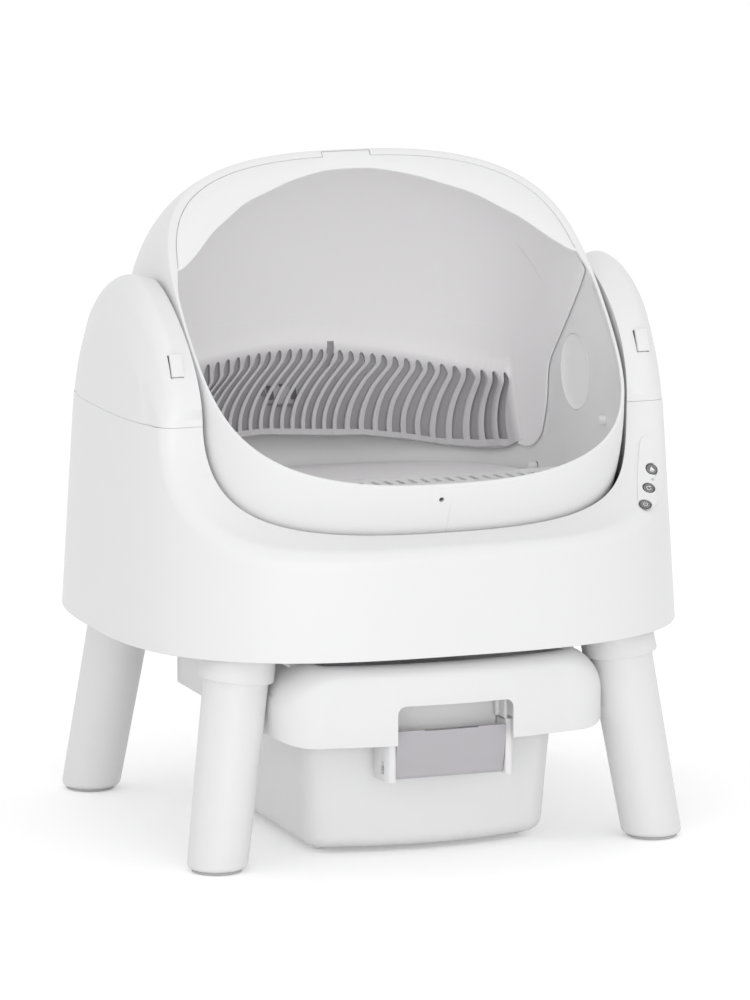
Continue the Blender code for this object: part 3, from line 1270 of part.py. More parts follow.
for label, sign in (("left", -1), ("right", 1)):
    finish("runner_" + label, slab([(sign * x, z) for x, z in profile], [], -HOOD_BACK,
                                   -RUNNER_FRONT, front_frame), STEEL, drawer)
    finish("drawer_rail_" + label, slab([(sign * x, z) for x, z in rail], [], -RAIL_BACK,
                                        -RAIL_FRONT, front_frame), STEEL)

LEDGE_THICKNESS = 0.003
LEDGE_FRONT = -0.130
LEDGE_BACK = 0.060
ledge_high = BIN_TOP - BIN_LIP - GAP
for label, sign in (("left", -1), ("right", 1)):
    first, last = sorted((sign * (BIN_HALF_TOP + GAP * 3), sign * (HOOD_HALF_WIDTH - HOOD_WALL
                                                                  - GAP * 3)))
    finish("bin_ledge_" + label, block((first, LEDGE_FRONT, ledge_high - LEDGE_THICKNESS),
                                       (last, LEDGE_BACK, ledge_high)), WHITE, drawer)

# Controls
PANEL_THICKNESS = 0.0008
PANEL_LOW_SHARE = 0.335   # along the front cut
PANEL_HIGH_SHARE = 0.80
PANEL_ROOMS = (0.0558, 0.0788, 0.0428, 0.0578)   # its corners, inwards from the tub's side
PANEL_LEFT_TOP, PANEL_LEFT_LOW, PANEL_RIGHT_TOP, PANEL_RIGHT_LOW = [
    TUB_HALF_WIDTH - room for room in PANEL_ROOMS]
PANEL_ROWS = 6
BUTTON_RADIUS = 0.006
BUTTON_RISE = 0.0022
BUTTON_DEPTH = 0.0019
BUTTON_CLEARANCE = 0.0004
BOARD_THICKNESS = 0.0016
BOARD_SET_BACK = 0.0006
BOARD_LOW_SHARE = 0.50
BOARD_MARGIN = -0.004
BUTTON_ROOMS = ((0.0514, 0.0624), (0.0603, 0.0780), (0.0703, 0.0902))
LED_ROOM = (0.0536, 0.0714)         # inwards from the tub's side and down from the seam
BUTTON_PLACES = [(TUB_HALF_WIDTH - room, SEAM - drop) for room, drop in BUTTON_ROOMS]
LED_PLACE = (TUB_HALF_WIDTH - LED_ROOM[0], SEAM - LED_ROOM[1])
LED_RADIUS = 0.0013


def share_at_height(height):
    low, high = 0.0, 1.0
    for step in range(40):
        middle = (low + high) / 2
        if cut_profile(middle)[1] < height:
            low = middle
        else:
            high = middle
    return low


def on_cut(x, share, lift):
    """A point over the cut's face, lifted out of the tub's material."""
    y, z = cut_profile(share)
    return Vector((x, y, z)) - cut_inward(share) * lift


def panel_grid(lift, margin=0.0, low_share=PANEL_LOW_SHARE):
    grid = []
    for k in range(PANEL_ROWS + 1):
        part = k / PANEL_ROWS
        share = lerp(low_share, PANEL_HIGH_SHARE, part)
        left = lerp(PANEL_LEFT_LOW, PANEL_LEFT_TOP, part) - margin
        right = lerp(PANEL_RIGHT_LOW, PANEL_RIGHT_TOP, part) + margin
        grid.append([on_cut(lerp(left, right, j / 2), share, lift) for j in range(3)])
    return grid


control_panel = finish("control_panel", panel(panel_grid(FACET_SAG * 0.5 + PANEL_THICKNESS),
                                              panel_grid(FACET_SAG * 0.5)), WHITE)
finish("control_board", panel(panel_grid(-SKIN - BOARD_SET_BACK, BOARD_MARGIN,
                                         BOARD_LOW_SHARE),
                              panel_grid(-SKIN - BOARD_SET_BACK - BOARD_THICKNESS,
                                         BOARD_MARGIN, BOARD_LOW_SHARE)), BOARD_GREEN)
for k, (x, height) in enumerate(BUTTON_PLACES, 1):
    share = share_at_height(height)
    place, out = on_cut(x, share, 0.0), -cut_inward(share)
    frame = along(place, out)
    button = pivot("button_axis_%d" % k, place)
    finish("control_button_%d" % k,
           turned([(0, -BUTTON_DEPTH), (BUTTON_RADIUS, -BUTTON_DEPTH),
                   (BUTTON_RADIUS, BUTTON_RISE * 0.75), (BUTTON_RADIUS * 0.9, BUTTON_RISE),
                   (0, BUTTON_RISE)], ROUND_SIDES, frame), DARK_GREY, button)
    hole = turned([(0, -SKIN - OVERRUN), (BUTTON_RADIUS + BUTTON_CLEARANCE, -SKIN - OVERRUN),
                   (BUTTON_RADIUS + BUTTON_CLEARANCE, OVERRUN), (0, OVERRUN)], ROUND_SIDES,
                  frame)
    tool = cutter("button_hole_%d" % k, hole)
    cut(base_shell, tool)
    cut(control_panel, tool)
led_share = share_at_height(LED_PLACE[1])
led_frame = along(on_cut(LED_PLACE[0], led_share, 0.0), -cut_inward(led_share))
finish("led_lens", turned([(0, -SKIN), (LED_RADIUS, -SKIN), (LED_RADIUS, BUTTON_RISE * 0.7),
                           (0, BUTTON_RISE * 0.7)], ROUND_SIDES // 2, led_frame), LENS)
led_hole = turned([(0, -SKIN - OVERRUN), (LED_RADIUS + GAP, -SKIN - OVERRUN),
                   (LED_RADIUS + GAP, OVERRUN), (0, OVERRUN)], ROUND_SIDES // 2, led_frame)
led_tool = cutter("led_hole", led_hole)
cut(base_shell, led_tool)
cut(control_panel, led_tool)

# Ear release tabs
TAB_REACH = 0.0130        # out from the drum's side
TAB_INSIDE = DRUM_HALF_WIDTH + TAB_REACH
TAB_WIDTH = 0.0115
TAB_LIFT = 0.0567
TAB_MIDDLE_Z = SEAM + TAB_LIFT
TAB_HALF_HEIGHT = 0.0108
TAB_THICKNESS = 0.0040
TAB_CLEARANCE = 0.0005
TAB_PROUD = 0.0006
tab_up = math.asin((TAB_MIDDLE_Z - SEAM_FOOT) / EAR_RISE)
tab_place = Vector((0, AXIS_Y - EAR_HALF_DEPTH * math.cos(tab_up), TAB_MIDDLE_Z))
tab_out = Vector((0, -math.cos(tab_up) / EAR_HALF_DEPTH, math.sin(tab_up) / EAR_RISE)).normalized()
tab_rise = Vector((0, tab_out.z, -tab_out.y))


def tab_box(sign, margin, low, high):
    first, last = sorted((sign * (TAB_INSIDE - margin), sign * (TAB_INSIDE + TAB_WIDTH + margin)))
    mesh = block((first, -TAB_HALF_HEIGHT - margin, low), (last, TAB_HALF_HEIGHT + margin, high))
    frame = Matrix.Translation(tab_place) @ Matrix((
        (1, 0, 0, 0), (0, tab_rise.y, tab_out.y, 0), (0, tab_rise.z, tab_out.z, 0),
        (0, 0, 0, 1)))
    bmesh.ops.transform(mesh, matrix=frame, verts=mesh.verts)
    return mesh


for label, sign in (("left", -1), ("right", 1)):
    slide = pivot("tab_axis_" + label, tab_place)
    finish("ear_tab_" + label, tab_box(sign, 0.0, -TAB_THICKNESS, TAB_PROUD), WHITE, slide)
    cut(ear_caps[label], cutter("tab_hole_" + label,
                                tab_box(sign, TAB_CLEARANCE, -TAB_THICKNESS - OVERRUN * 2,
                                        OVERRUN * 1.5)))

# Power inlet at the back
INLET_X = 0.090
INLET_Z = 0.232
INLET_RADIUS = 0.0075
INLET_BORE = 0.0032
INLET_LENGTH = 0.014
INLET_RECESS = 0.0015
inlet_place = on_tub(INLET_X, TUB_HALF_DEPTH, INLET_Z)
inlet_place = Vector((inlet_place.x, inlet_place.y, INLET_Z))
ahead = on_tub(INLET_X * 1.02, TUB_HALF_DEPTH, INLET_Z)
across = (ahead - inlet_place).normalized()
inlet_out = Vector((-across.y, across.x, 0))
if inlet_out.y < 0:
    inlet_out = -inlet_out
inlet_frame = along(inlet_place, inlet_out)
finish("power_inlet", turned([(INLET_BORE, -INLET_LENGTH + INLET_RECESS),
                              (INLET_RADIUS, -INLET_LENGTH), (INLET_RADIUS, -INLET_RECESS),
                              (INLET_BORE, -INLET_RECESS)], ROUND_SIDES, inlet_frame), DARK_GREY)
cut(base_shell, cutter("inlet_hole", turned([(0, -INLET_LENGTH), (INLET_RADIUS + GAP,
                                                                 -INLET_LENGTH),
                                             (INLET_RADIUS + GAP, OVERRUN), (0, OVERRUN)],
                                            ROUND_SIDES, inlet_frame)))
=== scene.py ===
"""Self cleaning litter box: fine shells, grille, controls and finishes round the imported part.

Everything is in metres in the part's own frame: +Z up, the front faces -Y, the floor is z = 0.
The shells come from the same section curves as the solids, drawn with many more stations.
"""
import math

import bmesh
import bpy
import numpy as np
from mathutils import Matrix, Vector


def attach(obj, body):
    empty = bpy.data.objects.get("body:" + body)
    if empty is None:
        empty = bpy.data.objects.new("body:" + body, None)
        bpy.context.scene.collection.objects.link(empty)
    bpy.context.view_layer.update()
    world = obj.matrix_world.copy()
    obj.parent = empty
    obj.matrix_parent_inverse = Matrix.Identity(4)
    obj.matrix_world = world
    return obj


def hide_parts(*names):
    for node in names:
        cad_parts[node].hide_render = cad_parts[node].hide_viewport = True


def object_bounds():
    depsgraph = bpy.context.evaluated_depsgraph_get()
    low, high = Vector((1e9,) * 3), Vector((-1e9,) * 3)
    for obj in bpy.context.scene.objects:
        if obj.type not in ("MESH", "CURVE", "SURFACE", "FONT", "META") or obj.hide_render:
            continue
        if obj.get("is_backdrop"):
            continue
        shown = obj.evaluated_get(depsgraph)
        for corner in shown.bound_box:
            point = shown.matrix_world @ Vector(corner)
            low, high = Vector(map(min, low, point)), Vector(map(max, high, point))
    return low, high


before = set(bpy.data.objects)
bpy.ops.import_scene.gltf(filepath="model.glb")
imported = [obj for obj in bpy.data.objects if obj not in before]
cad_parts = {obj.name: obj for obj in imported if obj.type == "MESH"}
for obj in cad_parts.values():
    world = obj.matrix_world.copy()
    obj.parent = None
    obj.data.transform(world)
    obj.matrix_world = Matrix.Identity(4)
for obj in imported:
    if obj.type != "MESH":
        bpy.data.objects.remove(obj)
CAD_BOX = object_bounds()
WELD = 0.00001

# Camera, floor and light
CAMERA_PLACE = Vector((-2.2197, -6.0957, 1.441))
CAMERA_AZIMUTH = math.radians(20.079)
CAMERA_FALL = math.radians(9.943)
LENS = 247.98
SENSOR = 36.0


def place_camera():
    """The photograph's viewpoint, a long lens a little above the drum."""
    ahead = Vector((math.sin(CAMERA_AZIMUTH) * math.cos(CAMERA_FALL),
                    math.cos(CAMERA_AZIMUTH) * math.cos(CAMERA_FALL), -math.sin(CAMERA_FALL)))
    across = Vector((math.cos(CAMERA_AZIMUTH), -math.sin(CAMERA_AZIMUTH), 0))
    up = across.cross(ahead)
    data = bpy.data.cameras.new("photo_view")
    data.sensor_fit = 'VERTICAL'
    data.sensor_height = SENSOR
    data.lens = LENS
    data.clip_end = 60.0
    camera = bpy.data.objects.new("photo_view", data)
    camera.matrix_world = Matrix((
        (across.x, up.x, -ahead.x, CAMERA_PLACE.x), (across.y, up.y, -ahead.y, CAMERA_PLACE.y),
        (across.z, up.z, -ahead.z, CAMERA_PLACE.z), (0, 0, 0, 1)))
    bpy.context.scene.collection.objects.link(camera)
    bpy.context.scene.camera = camera


place_camera()
bpy.context.scene.view_settings.view_transform = 'Standard'

# Tub, drum and cut: the part's own section curves
GAP = 0.0003
TUB_HALF_WIDTH, TUB_HALF_DEPTH = 0.2793, 0.2548
TUB_TAPER_X, TUB_TAPER_Y = 0.0124, 0.0112
TUB_BOTTOM, SEAM = 0.1992, 0.408
TUB_POWER = 2.915
SKIN = 0.003
EDGE_FILLET = 0.012
FLANGE_FOOT = 0.303
FRONT_CUT = (-0.252, 0.114, 0.1075)
BACK_CUT = (0.252, 0.130, 0.068)
CUT_POWER = 1.95
SEAM_TOP, SEAM_FOOT = SEAM - GAP / 2, SEAM + GAP / 2
AXIS_Y, AXIS_Z = -0.008, 0.418
AXIS = Vector((0, AXIS_Y, AXIS_Z))
DRUM_RADIUS, DRUM_HALF_WIDTH = 0.2275, 0.2135
BARREL_END, BARREL_ROUND = 2.5, 4.7
DRUM_WALL, DRUM_CLEARANCE = 0.003, 0.004
MOUTH_TILT = math.radians(44.17)
MOUTH_OFFSET = 0.1066
RIM_WIDTH = 0.008
RIM_CHANGE = (0.03, 0.075)
ALONG_MOUTH = Vector((0, math.cos(MOUTH_TILT), math.sin(MOUTH_TILT)))
OUT_OF_MOUTH = Vector((0, -math.sin(MOUTH_TILT), math.cos(MOUTH_TILT)))
FINE = 200                # steps of the polylines that rings are resampled from
BEND = 0.15


def lerp(a, b, share):
    return a + (b - a) * share


def above(height):
    return Vector((0, 0, height))


def quarter_steps(count, first=0):
    """Sines and cosines of a quarter turn in equal steps."""
    turns = [math.pi / 2 * k / count for k in range(first, count + 1)]
    return [(math.sin(turn), math.cos(turn)) for turn in turns]


def bisect(low, high, inside):
    """The edge between low, which is inside, and high, which isn't."""
    for _ in range(40):
        middle = (low + high) / 2
        if inside(middle):
            low = middle
        else:
            high = middle
    return low


def smooth(value, start, end):
    share = min(max((value - start) / (end - start), 0.0), 1.0)
    return share * share * (3 - 2 * share)


def root(value, power):
    return max(value, 0.0) ** (1.0 / power)


def tub_sizes(z, inset):
    rise = (z - TUB_BOTTOM) / (SEAM - TUB_BOTTOM)
    return (TUB_HALF_WIDTH - TUB_TAPER_X * rise - inset,
            TUB_HALF_DEPTH - TUB_TAPER_Y * rise - inset)


def tub_x(y, z, inset=0.0):
    half_width, half_depth = tub_sizes(z, inset)
    return half_width * root(1 - (abs(y) / half_depth) ** TUB_POWER, TUB_POWER)


def on_tub(point, inset=0.0):
    """The point moved level onto the tub's wall."""
    half_width, half_depth = tub_sizes(point[2], inset)
    reach = ((abs(point[0]) / half_width) ** TUB_POWER
             + (abs(point[1]) / half_depth) ** TUB_POWER) ** (1 / TUB_POWER)
    return Vector((point[0] / reach, point[1] / reach, point[2]))


def barrel_radius(x, grow=0.0):
    share = min(abs(x) / (DRUM_HALF_WIDTH + grow), 1.0)
    return (DRUM_RADIUS + grow) * root(1 - share ** BARREL_END, BARREL_ROUND)


def barrel_reach(radius, grow=0.0):
    share = min(radius / (DRUM_RADIUS + grow), 1.0)
    return (DRUM_HALF_WIDTH + grow) * root(1 - share ** BARREL_ROUND, BARREL_END)


def off_axis(y, z):
    return math.hypot(y - AXIS_Y, z - AXIS_Z)


def on_barrel(point, grow=0.0):
    """The point moved along its line from the drum's centre onto the barrel."""
    x, y, z = point[0], point[1] - AXIS_Y, point[2] - AXIS_Z
    end = abs(x) / (DRUM_HALF_WIDTH + grow)
    side = math.hypot(y, z) / (DRUM_RADIUS + grow)
    share = bisect(0.0, 2.0 / max(end, side),
                   lambda s: (s * end) ** BARREL_END + (s * side) ** BARREL_ROUND < 1)
    return Vector((x * share, AXIS_Y + y * share, AXIS_Z + z * share))


def resample(points, count, bend=0.0):
    """Points at equal steps along a polyline; bend adds steps where it turns."""
    path = np.array([tuple(p) for p in points], dtype=float)
    steps = np.diff(path, axis=0)
    sizes = np.linalg.norm(steps, axis=1)
    if bend > 0:
        units = steps / np.maximum(sizes, WELD)[:, None]
        turns = np.arccos(np.clip(np.sum(units[1:] * units[:-1], axis=1), -1, 1))
        sizes = sizes + bend * np.concatenate([turns, turns[-1:]])
    run = np.concatenate([[0.0], np.cumsum(sizes)])
    stops = np.linspace(0.0, run[-1], count + 1)
    return [Vector([np.interp(stop, run, path[:, axis]) for axis in range(path.shape[1])])
            for stop in stops]


def cut_point(share, back=False):
    """The cut's side profile from the lip (0) to the seam corner (1), as depth and height."""
    start, reach, depth = BACK_CUT if back else FRONT_CUT
    along = math.sin(share * math.pi / 2) ** (2 / CUT_POWER)
    down = math.cos(share * math.pi / 2) ** (2 / CUT_POWER)
    return (start - reach * along if back else start + reach * along), SEAM_TOP - depth * down


def cut_inward(share, back=False):
    """The direction from the cut's face into the tub's material."""
    y0, z0 = cut_point(max(share - 0.01, 0), back)
    y1, z1 = cut_point(min(share + 0.01, 1), back)
    length = math.hypot(y1 - y0, z1 - z0)
    sign = -1 if back else 1
    return Vector((0, sign * (z1 - z0) / length, -sign * (y1 - y0) / length))


def corner_arc(edge, first, second, count):
    """Points of the rounding between first and second, whose square corner is edge."""
    return [edge + (first - edge) * (1 - sine) + (second - edge) * (1 - cosine)
            for sine, cosine in quarter_steps(count)]


def mirrored(points):
    return [Vector((-p[0], *p[1:])) for p in points]


def closed(half):
    """A ring from the half that starts and ends in the middle plane."""
    return half + mirrored(reversed(half[1:-1]))


def in_mouth(x, reach, level):
    """A point from its place along X, along the mouth and out of the mouth."""
    return AXIS + Vector((x, 0, 0)) + ALONG_MOUTH * reach + OUT_OF_MOUTH * level


def inward(outline, k, distance):
    """One point of a closed outline moved towards its inside."""
    before, after = outline[k - 1], outline[(k + 1) % len(outline)]
    run = (after - before).normalized()
    side = Vector((-run.y, run.x))
    if side.dot(outline[k]) > 0:
        side = -side
    return outline[k] + side * distance


def section_outline(level, grow, count):
    """The barrel's section parallel to the mouth, as points across and along it."""
    width = barrel_reach(abs(level), grow)
    corner = []
    for k in range(FINE + 1):
        x = width * math.sin(math.pi / 2 * k / FINE)
        reach = math.sqrt(max(barrel_radius(x, grow) ** 2 - level ** 2, 0.0))
        corner.append((x, reach if k < FINE else 0.0))
    half = corner + [(x, -v) for x, v in reversed(corner[:-1])]
    return closed(resample(half, count // 2, BEND))


# Mesh makers
def loft(rings, wrap=False):
    """Skin closed rings of equal length; wrap joins the last ring to the first."""
    mesh = bmesh.new()
    rows = [[mesh.verts.new(p) for p in ring] for ring in rings]
    pairs = list(zip(rows, rows[1:])) + ([(rows[-1], rows[0])] if wrap else [])
    for lower, upper in pairs:
        for k in range(len(lower)):
            j = (k + 1) % len(lower)
            mesh.faces.new((lower[k], lower[j], upper[j], upper[k]))
    if not wrap:
        mesh.faces.new(rows[0])
        mesh.faces.new(rows[-1])
    return mesh


def panel(front, back, solid=None):
    """A sheet between two equal grids of points; solid(i, j) tells which cells are filled."""
    mesh = bmesh.new()
    rows, columns = len(front) - 1, len(front[0]) - 1
    fills = [[solid is None or solid(i, j) for j in range(columns)] for i in range(rows)]
    made = {}

    def vertex(side, i, j):
        key = (side, i, j)
        if key not in made:
            made[key] = mesh.verts.new((front if side == 0 else back)[i][j])
        return made[key]

    def filled(i, j):
        return 0 <= i < rows and 0 <= j < columns and fills[i][j]

    for i in range(rows):
        for j in range(columns):
            if not fills[i][j]:
                continue
            corners = ((i, j), (i, j + 1), (i + 1, j + 1), (i + 1, j))
            mesh.faces.new([vertex(0, *c) for c in corners])
            mesh.faces.new([vertex(1, *c) for c in reversed(corners)])
            sides = (((i, j), (i, j + 1), (i - 1, j)), ((i, j + 1), (i + 1, j + 1), (i, j + 1)),
                     ((i + 1, j + 1), (i + 1, j), (i + 1, j)), ((i + 1, j), (i, j), (i, j - 1)))
            for start, end, beyond in sides:
                if not filled(*beyond):
                    mesh.faces.new((vertex(0, *end), vertex(0, *start),
                                    vertex(1, *start), vertex(1, *end)))
    return mesh


def slab(outline, holes, low, high, place=None):
    """A flat plate with holes, drawn in X and Y and lifted from low to high."""
    mesh = bmesh.new()
    for loop in [outline] + list(holes):
        ring = [mesh.verts.new((p[0], p[1], low)) for p in loop]
        for k in range(len(ring)):
            mesh.edges.new((ring[k], ring[(k + 1) % len(ring)]))
    bmesh.ops.triangle_fill(mesh, edges=mesh.edges[:], use_beauty=True, normal=(0, 0, 1))
    raised = bmesh.ops.extrude_face_region(mesh, geom=mesh.faces[:], use_keep_orig=True)
    moved = [item for item in raised["geom"] if isinstance(item, bmesh.types.BMVert)]
    bmesh.ops.translate(mesh, verts=moved, vec=(0, 0, high - low))
    if place is not None:
        bmesh.ops.transform(mesh, matrix=place, verts=mesh.verts)
    return mesh


def turned(profile, sides, place):
    """Turn (radius, height) points about Z; a radius of zero closes on the axis."""
    mesh = bmesh.new()
    rows = []
    for radius, height in profile:
        if radius <= 0:
            rows.append([mesh.verts.new((0, 0, height))])
        else:
            rows.append([mesh.verts.new((radius * math.cos(2 * math.pi * k / sides),
                                         radius * math.sin(2 * math.pi * k / sides), height))
                         for k in range(sides)])
    pairs = list(zip(rows, rows[1:]))
    if len(rows[0]) > 1 or len(rows[-1]) > 1:
        pairs.append((rows[-1], rows[0]))
    for lower, upper in pairs:
        for k in range(sides):
            corners = [lower[k % len(lower)], lower[(k + 1) % len(lower)],
                       upper[(k + 1) % len(upper)], upper[k % len(upper)]]
            kept = list(dict.fromkeys(corners))
            if len(kept) > 2:
                mesh.faces.new(kept)
    bmesh.ops.transform(mesh, matrix=place, verts=mesh.verts)
    return mesh


def block(low, high, bevel=0.0, segments=3, place=None):
    """A box between two corners, with its edges rounded."""
    mesh = bmesh.new()
    size = [high[k] - low[k] for k in range(3)]
    middle = [(high[k] + low[k]) / 2 for k in range(3)]
    bmesh.ops.create_cube(mesh, size=1.0,
                          matrix=Matrix.Translation(middle) @ Matrix.Diagonal((*size, 1.0)))
    if bevel > 0:
        bmesh.ops.bevel(mesh, geom=mesh.edges[:], offset=bevel, segments=segments, profile=0.5,
                        affect='EDGES')
    if place is not None:
        bmesh.ops.transform(mesh, matrix=place, verts=mesh.verts)
    return mesh


def along(start, direction):
    """A frame at start whose Z runs along direction."""
    return Matrix.Translation(start) @ Vector((0, 0, 1)).rotation_difference(
        Vector(direction)).to_matrix().to_4x4()


def plug(radius, low, high, sides, place):
    """A plain cylinder along Z of a frame."""
    return turned([(0, low), (radius, low), (radius, high), (0, high)], sides, place)


def circle(radius, sides, centre=(0.0, 0.0)):
    turns = [2 * math.pi * k / sides for k in range(sides)]
    return [(centre[0] + radius * math.cos(turn), centre[1] + radius * math.sin(turn))
            for turn in turns]


def sideways(y, z):
    """A frame whose Z runs along +X."""
    return along(Vector((0, y, z)), (1, 0, 0))


def span(sign, near, far):
    """Two distances from the middle plane on one side, from low to high."""
    return sorted((sign * near, sign * far))


def side_frame(place=(0, 0, 0)):
    """Outlines drawn in X and Y stand in the YZ plane, lifted along +X."""
    return Matrix.Translation(place) @ Matrix(((0, 0, 1, 0), (1, 0, 0, 0), (0, 1, 0, 0),
                                               (0, 0, 0, 1)))


SIDES = (("left", -1), ("right", 1))
FRONT_FRAME = Matrix(((1, 0, 0, 0), (0, 0, -1, 0), (0, 1, 0, 0), (0, 0, 0, 1)))
MOUTH_FRAME = Matrix.Translation(AXIS) @ Matrix((
    (1, 0, 0, 0), (0, ALONG_MOUTH.y, OUT_OF_MOUTH.y, 0), (0, ALONG_MOUTH.z, OUT_OF_MOUTH.z, 0),
    (0, 0, 0, 1)))


def mesh_object(name, mesh, smooth_angle=32.0):
    """Close a bmesh into an object with outward faces and shaded edges."""
    bmesh.ops.remove_doubles(mesh, verts=mesh.verts, dist=WELD)
    bmesh.ops.recalc_face_normals(mesh, faces=mesh.faces)
    data = bpy.data.meshes.new(name)
    mesh.to_mesh(data)
    mesh.free()
    data.shade_smooth()
    data.set_sharp_from_angle(angle=math.radians(smooth_angle))
    made = bpy.data.objects.new(name, data)
    bpy.context.scene.collection.objects.link(made)
    return made


def apply_steps(target, smooth_angle=32.0):
    """Bake an object's modifiers into its mesh."""
    graph = bpy.context.evaluated_depsgraph_get()
    data = bpy.data.meshes.new_from_object(target.evaluated_get(graph))
    target.modifiers.clear()
    old = target.data
    target.data = data
    bpy.data.meshes.remove(old)
    data.shade_smooth()
    data.set_sharp_from_angle(angle=math.radians(smooth_angle))


def carve(target, *meshes):
    """Take solids away from an object for good."""
    tools = []
    for k, mesh in enumerate(meshes):
        tool = mesh_object("%s_tool_%d" % (target.name, k), mesh)
        tools.append(tool)
        step = target.modifiers.new("carve", 'BOOLEAN')
        step.operation = 'DIFFERENCE'
        step.solver = 'EXACT'
        step.object = tool
    apply_steps(target)
    for tool in tools:
        data = tool.data
        bpy.data.objects.remove(tool)
        bpy.data.meshes.remove(data)


def round_edges(target, width, segments=2, angle=40.0):
    """A small true rounding on an object's sharp edges."""
    step = target.modifiers.new("round", 'BEVEL')
    step.width = width
    step.segments = segments
    step.limit_method = 'ANGLE'
    step.angle_limit = math.radians(angle)
    step.use_clamp_overlap = True
    apply_steps(target, 40.0)


def dress(made, finish, body, slot, *nodes):
    """Give an object its finish, what moves it, and the nodes that it stands for."""
    made.data.materials.clear()
    made.data.materials.append(finish)
    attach(made, body)
    if nodes:
        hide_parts(*nodes)


def piece(name, mesh, finish, body, slot, *nodes, angle=32.0, cuts=(), rounding=None):
    """A dressed object from a mesh, its cuts, and the width, steps and angle of its rounding."""
    made = mesh_object(name, mesh, angle)
    if cuts:
        carve(made, *cuts)
    if rounding:
        round_edges(made, *rounding)
    dress(made, finish, body, slot, *nodes)


# Materials
def new_group(name, entries, results):
    """A node group with its inputs (name, kind, value) and outputs (name, kind)."""
    tree = bpy.data.node_groups.new(name, 'ShaderNodeTree')
    for label, kind, value in entries:
        socket = tree.interface.new_socket(name=label, in_out='INPUT', socket_type=kind)
        if value is not None:
            socket.default_value = value
    for label, kind in results:
        tree.interface.new_socket(name=label, in_out='OUTPUT', socket_type=kind)
    return tree, tree.nodes.new('NodeGroupInput'), tree.nodes.new('NodeGroupOutput')


def wire(tree, start, output, end, entry):
    tree.links.new(start.outputs[output], end.inputs[entry])


def math_node(tree, operation, first=None, second=None, clamp=False):
    made = tree.nodes.new('ShaderNodeMath')
    made.operation = operation
    made.use_clamp = clamp
    for k, value in enumerate((first, second)):
        if isinstance(value, (int, float)):
            made.inputs[k].default_value = value
        elif value is not None:
            tree.links.new(value, made.inputs[k])
    return made.outputs[0]


def noise(tree, vector, scale, detail, roughness=0.5):
    made = tree.nodes.new('ShaderNodeTexNoise')
    made.inputs["Scale"].default_value = scale
    made.inputs["Detail"].default_value = detail
    made.inputs["Roughness"].default_value = roughness
    tree.links.new(vector, made.inputs["Vector"])
    return made


def swing(tree, source, entry, amount):
    """A noise's swing round its middle, as large as a group input says."""
    centred = math_node(tree, 'SUBTRACT', source.outputs["Fac"], 0.5)
    return math_node(tree, 'MULTIPLY', centred, entry.outputs[amount])


def end_group(tree, entry, result, rub, height):
    """Roughness round the group's own value, and a noise as height."""
    rough = math_node(tree, 'ADD', rub, entry.outputs["Roughness"], True)
    tree.links.new(rough, result.inputs["Roughness"])
    wire(tree, height, "Fac", result, "Height")
    return tree


NUMBER, COLOUR, VECTOR = 'NodeSocketFloat', 'NodeSocketColor', 'NodeSocketVector'


def moulded_group():
    """Spark-eroded grain, slow tone drift and rubbed patches of an injection moulding."""
    tree, entry, result = new_group("moulded_surface", (
        ("Colour", COLOUR, None), ("Tone Drift", NUMBER, 0.01), ("Roughness", NUMBER, 0.4),
        ("Rubbed", NUMBER, 0.06), ("Grain Scale", NUMBER, 900.0)),
        (("Colour", COLOUR), ("Roughness", NUMBER), ("Height", NUMBER)))
    place = tree.nodes.new('ShaderNodeTexCoord').outputs["Object"]
    grain = noise(tree, place, 900.0, 3.0)
    wire(tree, entry, "Grain Scale", grain, "Scale")
    drift = swing(tree, noise(tree, place, 7.0, 4.0), entry, "Tone Drift")
    level = math_node(tree, 'ADD', drift, 1.0)
    tint = tree.nodes.new('ShaderNodeVectorMath')
    tint.operation = 'SCALE'
    wire(tree, entry, "Colour", tint, "Vector")
    tree.links.new(level, tint.inputs["Scale"])
    wire(tree, tint, "Vector", result, "Colour")
    rub = swing(tree, noise(tree, place, 38.0, 6.0, 0.62), entry, "Rubbed")
    return end_group(tree, entry, result, rub, grain)


def brushed_group():
    """Fine lines along one axis, for rolled or brushed metal."""
    tree, entry, result = new_group("drawn_lines", (
        ("Stretch", VECTOR, None), ("Roughness", NUMBER, 0.4), ("Contrast", NUMBER, 0.1)),
        (("Roughness", NUMBER), ("Height", NUMBER)))
    place = tree.nodes.new('ShaderNodeTexCoord')
    stretch = tree.nodes.new('ShaderNodeVectorMath')
    stretch.operation = 'MULTIPLY'
    wire(tree, place, "Object", stretch, 0)
    wire(tree, entry, "Stretch", stretch, 1)
    lines = noise(tree, stretch.outputs["Vector"], 1.0, 4.0)
    return end_group(tree, entry, result, swing(tree, lines, entry, "Contrast"), lines)


MOULDED = moulded_group()
BRUSHED = brushed_group()


def new_finish(name):
    made = bpy.data.materials.new(name)
    made.use_nodes = True
    tree = made.node_tree
    return made, tree, tree.nodes["Principled BSDF"]


def group_finish(name, group, bump, distance, values):
    """A material whose roughness and bump come from a node group."""
    made, tree, shader = new_finish(name)
    look = tree.nodes.new('ShaderNodeGroup')
    look.node_tree = group
    for label, value in values.items():
        look.inputs[label].default_value = value
    wire(tree, look, "Roughness", shader, "Roughness")
    lift = tree.nodes.new('ShaderNodeBump')
    lift.inputs["Strength"].default_value = bump
    lift.inputs["Distance"].default_value = distance
    wire(tree, look, "Height", lift, "Height")
    wire(tree, lift, "Normal", shader, "Normal")
    return made, tree, look, shader


